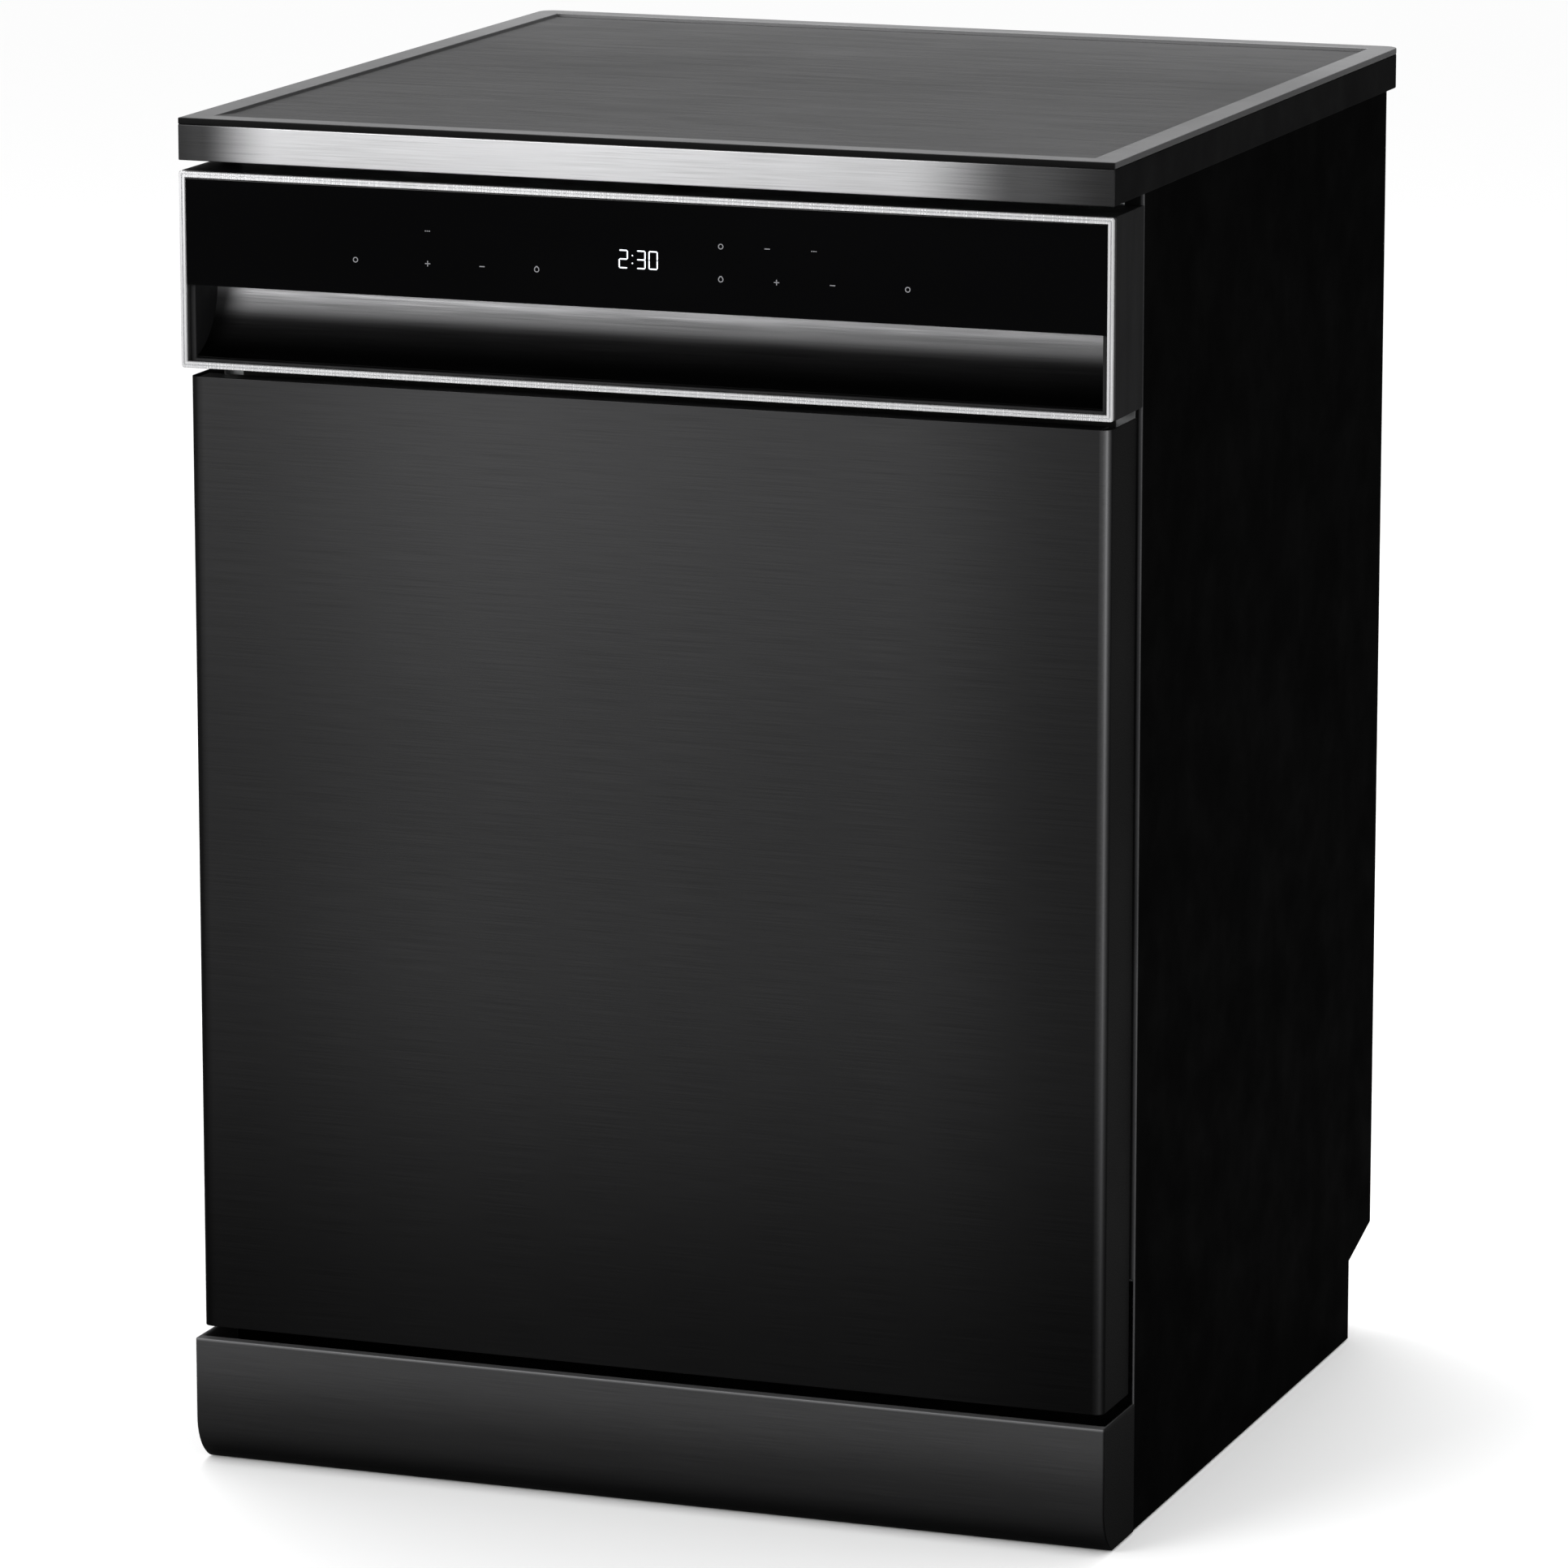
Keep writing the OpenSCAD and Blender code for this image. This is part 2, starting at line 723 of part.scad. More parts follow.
// Flat arm with two tapering blades round a bored hub
module spray_arm(reach, z0, hub_r, bore_r, t) {
    root_w = 21;
    end_w = 13;
    translate([0, tub_mid_y, z0]) difference() {
        union() {
            cylinder(h = t, r = hub_r);
            for (a = [0, 180]) rotate([0, 0, a]) linear_extrude(t) {
                polygon([[0, -root_w], [reach - end_w, -end_w], [reach - end_w, end_w], [0, root_w]]);
                translate([reach - end_w, 0]) circle(end_w);
            }
        }
        translate([0, 0, -1]) cylinder(h = t + 2, r = bore_r);
    }
}

module lower_spray_arm() {
    color([0.5, 0.51, 0.53]) spray_arm(lower_arm_r, lower_arm_z, 30, post_r + run_gap, arm_t);
}

module upper_spray_arm() {
    color([0.5, 0.51, 0.53]) spray_arm(upper_arm_r, upper_arm_z, 28, 8 + run_gap, arm_t);
}

module top_sprayer() {
    color([0.5, 0.51, 0.53]) spray_arm(95, top_arm_z, 24, 7 + run_gap, 7);
}

// ---- Rails ---------------------------------------------------------------------------------

// C-shaped channel open towards the middle of the tub
module channel(x0, x1, half_h) {
    span([x1 - rail_t, rail_y0, rail_z - half_h], [x1, rail_y1, rail_z + half_h]);
    for (s = [-1, 1])
        span([x0, rail_y0, rail_z + min(s * half_h, s * (half_h - rail_t))],
             [x1 - rail_t + 0.01, rail_y1, rail_z + max(s * half_h, s * (half_h - rail_t))]);
}

rail_half = 17;
slide_half = rail_half - rail_t - rail_gap;
runner_half = slide_half - rail_t - rail_gap;
slide_x1 = tub_x - rail_t - rail_gap;
runner_x1 = slide_x1 - rail_t - rail_gap;

module fixed_rails() {
    color([0.6, 0.61, 0.63]) both_sides() channel(tub_x - 8, tub_x, rail_half);
}

module rail_slides() {
    color([0.65, 0.66, 0.68]) both_sides() channel(tub_x - 8, slide_x1, slide_half);
}

// ---- Baskets -------------------------------------------------------------------------------

// Wire tray: two rims, uprights between them and floor wires between the lower rim's ends
module wire_tray(y0, y1, z0, z1) {
    side = basket_x - rim_r;
    n_x = round(2 * side / upright_pitch);
    n_y = round((y1 - y0) / upright_pitch);
    n_floor = round(2 * side / floor_pitch);
    up0 = z0 + rim_r + weld_gap;
    up1 = z1 - rim_r - weld_gap;
    for (z = [z0, z1]) {
        for (y = [y0, y1]) rod_x(-basket_x, basket_x, y, z, rim_r);
        for (s = [-1, 1]) rod_y(y0 + rim_r + weld_gap, y1 - rim_r - weld_gap, s * side, z, rim_r);
    }
    for (i = [0:n_x], y = [y0, y1]) rod_z(up0, up1, -side + i * 2 * side / n_x, y, wire_r);
    for (j = [1:n_y - 1], s = [-1, 1]) rod_z(up0, up1, s * side, y0 + j * (y1 - y0) / n_y, wire_r);
    for (i = [1:n_floor - 1])
        rod_y(y0 + rim_r + weld_gap, y1 - rim_r - weld_gap, -side + i * 2 * side / n_floor, z0, wire_r);
}

// A row of plate supports standing on the floor wires from the first to the last wire
module tine_row(first, last, y, z0) {
    side = basket_x - rim_r;
    n_floor = round(2 * side / floor_pitch);
    for (i = [first:last])
        rod_z(z0 + wire_r + weld_gap, z0 + tine_h, -side + i * 2 * side / n_floor, y, wire_r);
}

// Wheel plate that hangs on the basket's side, with its pin
module wheel_carrier(y) {
    color([0.35, 0.36, 0.38]) {
        span([basket_x + weld_gap, y - 13, wheel_z - 8], [basket_x + 3, y + 13, lower_floor_z + 22]);
        rod_x(basket_x + 2.99, wheel_x0 + wheel_t + 0.5, y, wheel_z, wheel_pin_r);
        rod_x(wheel_x0 + wheel_t + 0.5, wheel_x0 + wheel_t + 2, y, wheel_z, wheel_pin_r + 2);
    }
}

cutlery_w = 124;
cutlery_l = 236;
cutlery_x1 = basket_x - 2 * rim_r - 2;
cutlery_y0 = basket_y0 + 2 * rim_r + 4;
fold_y = tub_mid_y + 92;

module lower_basket() {
    color([0.55, 0.56, 0.58]) {
        wire_tray(basket_y0, lower_y1, lower_floor_z, lower_top_z);
        tine_row(1, 6, tub_mid_y - 170, lower_floor_z);
        tine_row(1, 6, tub_mid_y - 85, lower_floor_z);
        tine_row(1, 10, tub_mid_y + 160, lower_floor_z);
    }
    both_sides() {
        wheel_carrier(wheel_front_y);
        wheel_carrier(wheel_rear_y);
    }
}

// Row of plate supports on a bar across the basket floor, which folds flat towards the front
module folding_tines() {
    side = basket_x - rim_r;
    n_floor = round(2 * side / floor_pitch);
    bar_r = 2;
    z = lower_floor_z + wire_r + weld_gap + bar_r;
    x0 = -side + 0.6 * 2 * side / n_floor;
    x1 = -side + 7.4 * 2 * side / n_floor;
    color([0.55, 0.56, 0.58]) {
        rod_x(x0, x1, fold_y, z, bar_r);
        for (i = [1:7])
            rod_z(z + bar_r + 0.05, z + tine_h, -side + (i - 0.2) * 2 * side / n_floor, fold_y, wire_r);
    }
}

module cutlery_basket() {
    x0 = cutlery_x1 - cutlery_w;
    y1 = cutlery_y0 + cutlery_l;
    z0 = lower_floor_z + wire_r + touch_gap;
    wall = 2;
    h = 112;
    cell_l = (cutlery_l - wall) / 3;
    color([0.4, 0.41, 0.43]) {
        difference() {
            span([x0, cutlery_y0, z0], [cutlery_x1, y1, z0 + h]);
            for (i = [0:2], j = [0:1])
                span([x0 + wall + j * (cutlery_w - wall) / 2, cutlery_y0 + wall + i * cell_l, z0 + wall],
                     [x0 + (j + 1) * (cutlery_w - wall) / 2, cutlery_y0 + (i + 1) * cell_l, z0 + h + 1]);
        }
        rod_y(cutlery_y0 + 20, y1 - 20, x0 + cutlery_w / 2, z0 + h + 22, 4);
        for (y = [cutlery_y0 + 20, y1 - 20])
            rod_z(z0 + h - 0.01, z0 + h + 22, x0 + cutlery_w / 2, y, 4);
    }
}

// One wheel with its running bore
module wheel(side_sign, y) {
    color([0.3, 0.31, 0.33]) difference() {
        rod_x(min(side_sign * wheel_x0, side_sign * (wheel_x0 + wheel_t)),
              max(side_sign * wheel_x0, side_sign * (wheel_x0 + wheel_t)), y, wheel_z, wheel_r);
        rod_x(-basket_x - 40, basket_x + 40, y, wheel_z, wheel_pin_r + run_gap);
    }
}

module wheel_front_left() {
    wheel(-1, wheel_front_y);
}

module wheel_front_right() {
    wheel(1, wheel_front_y);
}

module wheel_rear_left() {
    wheel(-1, wheel_rear_y);
}

module wheel_rear_right() {
    wheel(1, wheel_rear_y);
}

module upper_basket() {
    hanger_y = [tub_mid_y - 150, tub_mid_y + 130];
    color([0.55, 0.56, 0.58]) {
        wire_tray(basket_y0, upper_y1, upper_floor_z, upper_top_z);
        tine_row(3, 8, tub_mid_y - 110, upper_floor_z);
        tine_row(3, 8, tub_mid_y + 60, upper_floor_z);
    }
    color([0.65, 0.66, 0.68]) both_sides() {
        span([runner_x1 - 4.5, rail_y0, rail_z - runner_half], [runner_x1, rail_y1, rail_z + runner_half]);
        for (y = hanger_y)
            span([basket_x + weld_gap, y - 22, rail_z - 11], [runner_x1 - 4.49, y + 22, rail_z + 11]);
    }
}

// Tube under the upper basket that docks on the riser and carries the upper spray arm
module upper_feed_tube() {
    color([0.45, 0.46, 0.48]) {
        rod_y(tub_mid_y - 12, pipe_y0 - touch_gap, 0, feed_z, feed_r);
        rod_z(upper_arm_z - 3, feed_z, 0, tub_mid_y, 8);
        rod_z(upper_arm_z - 6, upper_arm_z - touch_gap, 0, tub_mid_y, 12);
    }
}

shelf_rod_r = 2.5;
shelf_x = basket_x - rim_r - wire_r - touch_gap - shelf_rod_r;
shelf_z = upper_top_z - 16;

// Fold-up cup shelf on the inside of the upper basket
module cup_shelf() {
    shelf_w = 84;
    y0 = tub_mid_y - 150;
    y1 = tub_mid_y + 140;
    slots = 7;
    pitch = (y1 - y0) / slots;
    color([0.42, 0.43, 0.45]) {
        rod_y(y0 - 6, y1 + 6, shelf_x, shelf_z, shelf_rod_r);
        difference() {
            span([shelf_x - shelf_w, y0, shelf_z - 1.5], [shelf_x, y1, shelf_z + 1.5]);
            for (i = [0:slots - 1])
                span([shelf_x - shelf_w + 12, y0 + i * pitch + 12, shelf_z - 3],
                     [shelf_x - 14, y0 + (i + 1) * pitch - 8, shelf_z + 3]);
        }
    }
}

module cup_shelf_left() {
    mirror([1, 0, 0]) cup_shelf();
}

module cup_shelf_right() {
    cup_shelf();
}

// ---- Door ----------------------------------------------------------------------------------

// Outer door panel: a sheet folded round both upright edges
module door_panel() {
    wall = sheet_t;
    rear_y = door_back_y - 2;
    color([0.2, 0.2, 0.2]) {
        translate([0, 0, panel_z0]) linear_extrude(panel_z1 - panel_z0) mirror([0, 1]) difference() {
            round_top_rect(panel_x, -rear_y, -panel_y, panel_edge_r);
            round_top_rect(panel_x - wall, -rear_y - 1, -panel_y - wall, panel_edge_r - wall);
        }
        for (z = [panel_z0, panel_z1 - wall])
            span([-panel_x + panel_edge_r, panel_y + wall - 0.01, z],
                 [panel_x - panel_edge_r, panel_y + 16, z + wall]);
    }
}

// Inner sheet of the door: flat margin for the seal, raised field and a hole for the dispenser
module door_liner() {
    y1 = door_back_y;
    y0 = y1 - liner_t;
    field_x = tub_x - 15;
    field_z0 = tub_floor_z + 14;
    field_z1 = tub_top_z - 20;
    edge_x = panel_x - 1.5;
    hole = 0.5;
    color([0.7, 0.71, 0.72]) difference() {
        union() {
            run_y(y0, y1) rect([-edge_x, panel_z0 + 3], [edge_x, fascia_z1 - 1]);
            run_y(y0, y1 + liner_field) rect([-field_x, field_z0], [field_x, field_z1]);
        }
        run_y(y0 - 1, y1 + liner_field - liner_t)
            rect([-field_x + liner_t, field_z0 + liner_t], [field_x - liner_t, field_z1 - liner_t]);
        run_y(y0 - 1, y1 + liner_field + 1)
            rect([dispenser_x0 - hole, dispenser_z0 - hole],
                 [dispenser_x0 + dispenser_w + hole, dispenser_z0 + dispenser_h + hole]);
        both_sides() span([bracket_x - 1.5, y0 - 1, 0], [half_w, y1 + 1, hinge_z + tip_r + 3]);
    }
}

pocket_x = half_w - frame_w - 4;
pocket_z = fascia_z0 + pocket_h - 2;
pocket_y = front_y - 6;
scoop_t = 1;

// Hollow of the handle pocket: mouth, quarter round and the finger space behind the glass
module pocket_hollow() {
    finger_h = 12;
    ledge = 4;
    intersection() {
        rod_x(-pocket_x, pocket_x, pocket_y, pocket_z, pocket_r + scoop_t);
        span([-half_w, front_y, fascia_z0 + frame_w + 1], [half_w, door_back_y, pocket_z]);
    }
    span([-pocket_x, front_y + 8, pocket_z - 1],
         [pocket_x, pocket_y + pocket_r - ledge, pocket_z + finger_h]);
    span([-pocket_x, front_y, fascia_z0 + frame_w + 2], [pocket_x, front_y + 12, fascia_z0 + pocket_h]);
}

module fascia_housing() {
    rear_y = door_back_y - 3;
    inner_y = front_y + frame_t;
    wall = 3;
    board_z0 = fascia_z0 + pocket_h + 16;
    side_t = half_w - panel_x + 1.5;
    color([0.05, 0.05, 0.05]) {
        difference() {
            span([-half_w, inner_y, fascia_z0], [half_w, rear_y, fascia_z1]);
            pocket_hollow();
            span([-half_w + 12, inner_y + wall, board_z0], [half_w - 12, rear_y - wall, fascia_z1 - wall]);
        }
        both_sides()
            span([half_w - side_t + 0.5, rear_y - 0.01, fascia_z0], [half_w, door_back_y, fascia_z1]);
    }
}

module fascia_frame() {
    color([0.85, 0.85, 0.86]) run_y(front_y, front_y + frame_t) difference() {
        rect([-half_w, fascia_z0], [half_w, fascia_z1]);
        rect([-half_w + frame_w, fascia_z0 + frame_w], [half_w - frame_w, fascia_z1 - frame_w]);
    }
}

module control_glass() {
    color([0.01, 0.01, 0.01])
        span([-half_w + frame_w, front_y + 0.6, fascia_z0 + pocket_h],
             [half_w - frame_w, front_y + frame_t, fascia_z1 - frame_w]);
}

// Curved steel sheet that lines the handle pocket
module handle_scoop() {
    color([0.6, 0.6, 0.62]) intersection() {
        difference() {
            rod_x(-pocket_x, pocket_x, pocket_y, pocket_z, pocket_r + scoop_t - 0.05);
            rod_x(-pocket_x - 1, pocket_x + 1, pocket_y, pocket_z, pocket_r);
        }
        span([-half_w, front_y + 6, fascia_z0], [half_w, door_back_y, pocket_z]);
    }
}

module control_board() {
    y0 = front_y + frame_t + 3;
    z0 = fascia_z0 + pocket_h + 19;
    z1 = fascia_z1 - 5;
    color([0.05, 0.3, 0.15]) {
        span([-130, y0, z0], [170, y0 + 1.6, z1]);
        span([-60, y0 + 1.59, z0 + 6], [-30, y0 + 12, z0 + 22]);
        span([20, y0 + 1.59, z0 + 8], [70, y0 + 9, z0 + 26]);
        for (i = [0:3]) rod_y(y0 + 1.59, y0 + 18, 100 + i * 16, z0 + 16, 6);
    }
}

module detergent_dispenser() {
    y1 = door_back_y + liner_field + 2;
    depth = 32;
    z0 = dispenser_z0;
    cup_z0 = z0 + (dispenser_h - cup_h) / 2;
    bore_depth = 14;
    color([0.5, 0.51, 0.53]) {
        difference() {
            span([dispenser_x0, y1 - depth, z0], [dispenser_x0 + dispenser_w, y1, z0 + dispenser_h]);
            span([cup_x0, y1 - 24, cup_z0], [cup_x0 + cup_w, y1 + 1, cup_z0 + cup_h]);
            rod_y(y1 - bore_depth, y1 + 1, cap_x, cap_z, cap_r - 3);
        }
        for (z = [cup_z0 - 5, cup_z0 + cup_h + 3.5])
            span([dispenser_x0 + 4, y1, z], [cap_x - cap_r - 3, y1 + 3, z + 1.5]);
    }
}

// Sliding lid of the detergent cup
module dispenser_lid() {
    y0 = door_back_y + liner_field + 2 + touch_gap;
    cup_z0 = dispenser_z0 + (dispenser_h - cup_h) / 2;
    color([0.62, 0.63, 0.65]) {
        span([cup_x0 - 2, y0, cup_z0 - 2], [cup_x0 + cup_w + 2, y0 + lid_t, cup_z0 + cup_h + 2]);
        span([cup_x0 + 4, y0 + lid_t - 0.01, cup_z0 + 12],
             [cup_x0 + 10, y0 + lid_t + 3, cup_z0 + cup_h - 12]);
    }
}

// Bayonet cap of the rinse-aid tank
module rinse_aid_cap() {
    y0 = door_back_y + liner_field + 2;
    color([0.25, 0.45, 0.65]) {
        rod_y(y0 + touch_gap, y0 + 5, cap_x, cap_z, cap_r);
        rod_y(y0 - 10, y0 + touch_gap + 0.01, cap_x, cap_z, cap_r - 3 - run_gap);
        span([cap_x - 9, y0 + 4.99, cap_z - 2], [cap_x + 9, y0 + 8, cap_z + 2]);
    }
}

// ---- Door latch ----------------------------------------------------------------------------

slot_x = 9;

// Tongue at the top of the door that enters the latch
module door_striker() {
    color([0.7, 0.7, 0.72]) {
        span([-7, door_back_y, tongue_z - 1], [7, tub_front_y + 14, tongue_z + 1]);
        span([-14, door_back_y, tongue_z - 2], [14, door_back_y + 1.2, tongue_z + 1]);
    }
}

// Housing under the front crossmember, with a slot for the tongue and the sprung lever
module latch_housing() {
    y0 = tub_front_y + flange_t + 3;
    color([0.85, 0.85, 0.85]) difference() {
        span([-latch_w / 2, y0, tongue_z - 5], [latch_w / 2, y0 + 26, worktop_z - 2.2]);
        span([-slot_x, y0 - 1, tongue_z - 2.5], [slot_x, y0 + 23, worktop_z - 3.4]);
    }
}

// Sprung lever that drops behind the tongue, on a pin across the slot
module latch_lever() {
    y0 = tub_front_y + flange_t + 5;
    lever_l = 16;
    z = tongue_z + 2.2;
    color([0.9, 0.9, 0.9]) {
        span([-6, y0, z - 0.6], [6, y0 + lever_l, z + 0.6]);
        rod_x(-slot_x + 0.2, slot_x - 0.2, y0 + lever_l, z, 1.4);
    }
}

// ---- Fasteners -----------------------------------------------------------------------------

screw_head_r = 5;
screw_head_t = 1.6;

module casing_screws() {
    y = cabinet_back_y;
    lowest_z = 110;
    edge = 30;
    rows = 5;
    pitch = (worktop_z - edge - lowest_z) / (rows - 1);
    color([0.7, 0.7, 0.7]) {
        for (i = [0:rows - 1]) both_sides()
            rod_y(y, y + screw_head_t, inner_x - 12, lowest_z + i * pitch, screw_head_r);
        for (x = [-120, 120]) rod_y(y, y + screw_head_t, x, worktop_z - edge, screw_head_r);
    }
}

worktop_core();
worktop_top();
worktop_trim();
left_side_panel();
right_side_panel();
rear_panel();
top_crossmember();
base_tray();
plinth();
feet();
tub_wrap();
tub_back();
tub_floor();
tub_flange();
tub_gasket();
insulation_mats();
hinge_brackets();
hinge_pins();
door_springs();
sump();
fine_filter();
circulation_pump();
drain_pump();
water_softener();
inlet_valve();
supply_pipe();
fixed_rails();
latch_housing();
mains_inlet();
casing_screws();
door_panel();
door_liner();
fascia_housing();
fascia_frame();
control_glass();
handle_scoop();
control_board();
detergent_dispenser();
hinge_arms();
door_striker();
dispenser_lid();
rinse_aid_cap();
latch_lever();
coarse_filter();
salt_cap();
lower_spray_arm();
upper_spray_arm();
top_sprayer();
upper_basket();
upper_feed_tube();
rail_slides();
cup_shelf_left();
cup_shelf_right();
lower_basket();
cutlery_basket();
folding_tines();
wheel_front_left();
wheel_front_right();
wheel_rear_left();
wheel_rear_right();
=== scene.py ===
"""Looks of a free-standing dishwasher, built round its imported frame.

Every piece takes its place from the boxes of the frame's own nodes. Lengths are metres, +X is
right seen from the front, +Y is back and +Z is up.
"""

import json
import logging
import math
from dataclasses import dataclass
from enum import Enum
from typing import Sequence

import bmesh
import bpy
from mathutils import Matrix, Vector


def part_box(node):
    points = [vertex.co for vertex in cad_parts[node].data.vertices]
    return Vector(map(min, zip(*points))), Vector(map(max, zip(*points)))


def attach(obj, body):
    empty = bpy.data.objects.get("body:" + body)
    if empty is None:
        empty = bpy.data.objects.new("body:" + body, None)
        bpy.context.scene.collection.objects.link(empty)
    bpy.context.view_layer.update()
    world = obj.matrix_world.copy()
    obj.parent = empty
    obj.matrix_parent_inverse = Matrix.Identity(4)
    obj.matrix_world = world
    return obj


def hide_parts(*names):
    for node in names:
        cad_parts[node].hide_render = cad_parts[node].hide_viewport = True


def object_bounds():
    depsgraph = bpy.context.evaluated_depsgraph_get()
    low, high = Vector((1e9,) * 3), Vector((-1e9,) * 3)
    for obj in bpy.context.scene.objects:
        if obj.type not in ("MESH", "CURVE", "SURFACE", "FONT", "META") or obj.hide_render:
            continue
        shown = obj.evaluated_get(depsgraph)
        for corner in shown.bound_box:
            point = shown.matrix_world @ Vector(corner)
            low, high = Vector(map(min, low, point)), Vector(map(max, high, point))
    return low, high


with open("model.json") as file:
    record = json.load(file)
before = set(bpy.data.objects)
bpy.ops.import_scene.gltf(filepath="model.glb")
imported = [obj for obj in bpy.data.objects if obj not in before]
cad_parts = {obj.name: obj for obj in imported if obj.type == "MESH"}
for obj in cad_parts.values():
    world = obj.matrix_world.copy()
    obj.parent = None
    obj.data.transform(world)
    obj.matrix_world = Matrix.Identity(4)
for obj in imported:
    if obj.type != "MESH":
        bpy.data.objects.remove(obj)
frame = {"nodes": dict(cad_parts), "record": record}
CAD_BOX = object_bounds()

LOG = logging.getLogger("dishwasher")
MM = 0.001
SMOOTH_ANGLE = math.radians(32)

Point = tuple[float, float, float]
Colour = tuple[float, float, float]
Corner = tuple[float, float]
Outline = Sequence[Corner]
Socket = bpy.types.NodeSocket


class Axis(Enum):
    """A direction of the frame, as the index of its coordinate."""

    X = 0
    Y = 1
    Z = 2


class Mark(Enum):
    """The plain signs printed beside the touch keys."""

    RING = "ring"
    BAR = "bar"
    DOTS = "dots"
    CROSS = "cross"
    DROP = "drop"


# ---- Finishes ------------------------------------------------------------------------------


class Shader:
    """A material's node tree while it is being built."""

    def __init__(self, name: str) -> None:
        """Starts an empty tree with its surface shader.

        Args:
            name: Name of the material.
        """
        self.material = bpy.data.materials.new(name)
        self.material.use_nodes = True
        self.tree = self.material.node_tree
        self.tree.nodes.clear()
        self.surface = self.tree.nodes.new("ShaderNodeBsdfPrincipled")
        output = self.tree.nodes.new("ShaderNodeOutputMaterial")
        self.join(self.surface.outputs["BSDF"], output.inputs["Surface"])
        self.place = self.tree.nodes.new("ShaderNodeTexCoord").outputs["Object"]

    def join(self, source: Socket, target: Socket) -> None:
        """Links one socket to another."""
        self.tree.links.new(source, target)

    def fix(self, **values: float | tuple[float, ...]) -> None:
        """Sets uniform values on the surface shader's own sockets, with _ for each space."""
        for name, value in values.items():
            self.surface.inputs[name.replace("_", " ")].default_value = value

    def noise(self, scale: float, stretch: Point = (1, 1, 1), detail: float = 3) -> Socket:
        """Makes a noise over the piece's own coordinates.

        Args:
            scale: Cells per metre.
            stretch: Factor on each coordinate, small along a grain.
            detail: Octaves.

        Returns:
            The noise's value, from 0 to 1.
        """
        mapping = self.tree.nodes.new("ShaderNodeMapping")
        mapping.inputs["Scale"].default_value = stretch
        texture = self.tree.nodes.new("ShaderNodeTexNoise")
        texture.inputs["Scale"].default_value = scale
        texture.inputs["Detail"].default_value = detail
        self.join(self.place, mapping.inputs["Vector"])
        self.join(mapping.outputs["Vector"], texture.inputs["Vector"])
        return texture.outputs["Fac"]

    def spread(self, value: Socket, low: float, high: float, start: float = 0.3, end: float = 0.7) -> Socket:
        """Maps a value from start..end to low..high, clamped.

        Args:
            value: Value to map.
            low: Result at the start.
            high: Result at the end.
            start: Value that gives the low result.
            end: Value that gives the high result.

        Returns:
            The mapped value.
        """
        node = self.tree.nodes.new("ShaderNodeMapRange")
        node.inputs["From Min"].default_value = start
        node.inputs["From Max"].default_value = end
        node.inputs["To Min"].default_value = low
        node.inputs["To Max"].default_value = high
        self.join(value, node.inputs["Value"])
        return node.outputs["Result"]

    def along(self, axis: Axis) -> Socket:
        """Gives one of the piece's own coordinates.

        Args:
            axis: Which coordinate.

        Returns:
            Its value in metres.
        """
        node = self.tree.nodes.new("ShaderNodeSeparateXYZ")
        self.join(self.place, node.inputs["Vector"])
        return node.outputs[axis.value]

    def times(self, first: Socket, second: Socket) -> Socket:
        """Multiplies two values.

        Args:
            first: One value.
            second: The other value.

        Returns:
            Their product.
        """
        node = self.tree.nodes.new("ShaderNodeMath")
        node.operation = "MULTIPLY"
        self.join(first, node.inputs[0])
        self.join(second, node.inputs[1])
        return node.outputs[0]

    def blend(self, share: Socket, first: Colour, second: Colour) -> None:
        """Colours the surface between two tones.

        Args:
            share: 0 for the first tone and 1 for the second.
            first: Linear colour.
            second: Linear colour.
        """
        node = self.tree.nodes.new("ShaderNodeMix")
        node.data_type = "RGBA"
        colours = [s for s in node.inputs if s.type == "RGBA"]
        colours[0].default_value = (*first, 1)
        colours[1].default_value = (*second, 1)
        self.join(share, node.inputs["Factor"])
        result = next(s for s in node.outputs if s.type == "RGBA")
        self.join(result, self.surface.inputs["Base Color"])

    def rough(self, value: Socket, low: float, high: float) -> None:
        """Varies the roughness between two values."""
        self.join(self.spread(value, low, high), self.surface.inputs["Roughness"])

    def relief(self, height: Socket, depth: float, strength: float = 0.4) -> None:
        """Bumps the surface.

        Args:
            height: Value that gives the relief.
            depth: Height of the relief in metres.
            strength: Share of the relief that shows.
        """
        node = self.tree.nodes.new("ShaderNodeBump")
        node.inputs["Strength"].default_value = strength
        node.inputs["Distance"].default_value = depth
        self.join(height, node.inputs["Height"])
        self.join(node.outputs["Normal"], self.surface.inputs["Normal"])


def tone(colour: Colour, factor: float) -> Colour:
    """Returns a colour made darker or lighter by a factor, no brighter than 1."""
    return tuple(min(1.0, c * factor) for c in colour)


@dataclass(frozen=True)
class Fade:
    """A change of tone along one of the piece's own coordinates, used to paint light and shade (highlights,
    reflections and shaded sides) into a finish's colour.
    """

    axis: Axis
    stops: tuple[Corner, ...]

    def share(self, shader: Shader) -> Socket:
        """Builds the fade.

        Args:
            shader: Tree to build in.

        Returns:
            Socket with the brightness at each place, from 0 to 1.
        """
        places = [place for place, _ in self.stops]
        ramp = shader.tree.nodes.new("ShaderNodeValToRGB")
        ramp.color_ramp.interpolation = "EASE"
        elements = ramp.color_ramp.elements
        while len(elements) < len(self.stops):
            elements.new(0.5)
        for element, (place, level) in zip(elements, self.stops):
            element.position = (place - places[0]) / (places[-1] - places[0])
            element.color = (level, level, level, 1)
        shader.join(shader.spread(shader.along(self.axis), 0, 1, places[0], places[-1]), ramp.inputs["Fac"])
        return ramp.outputs["Color"]


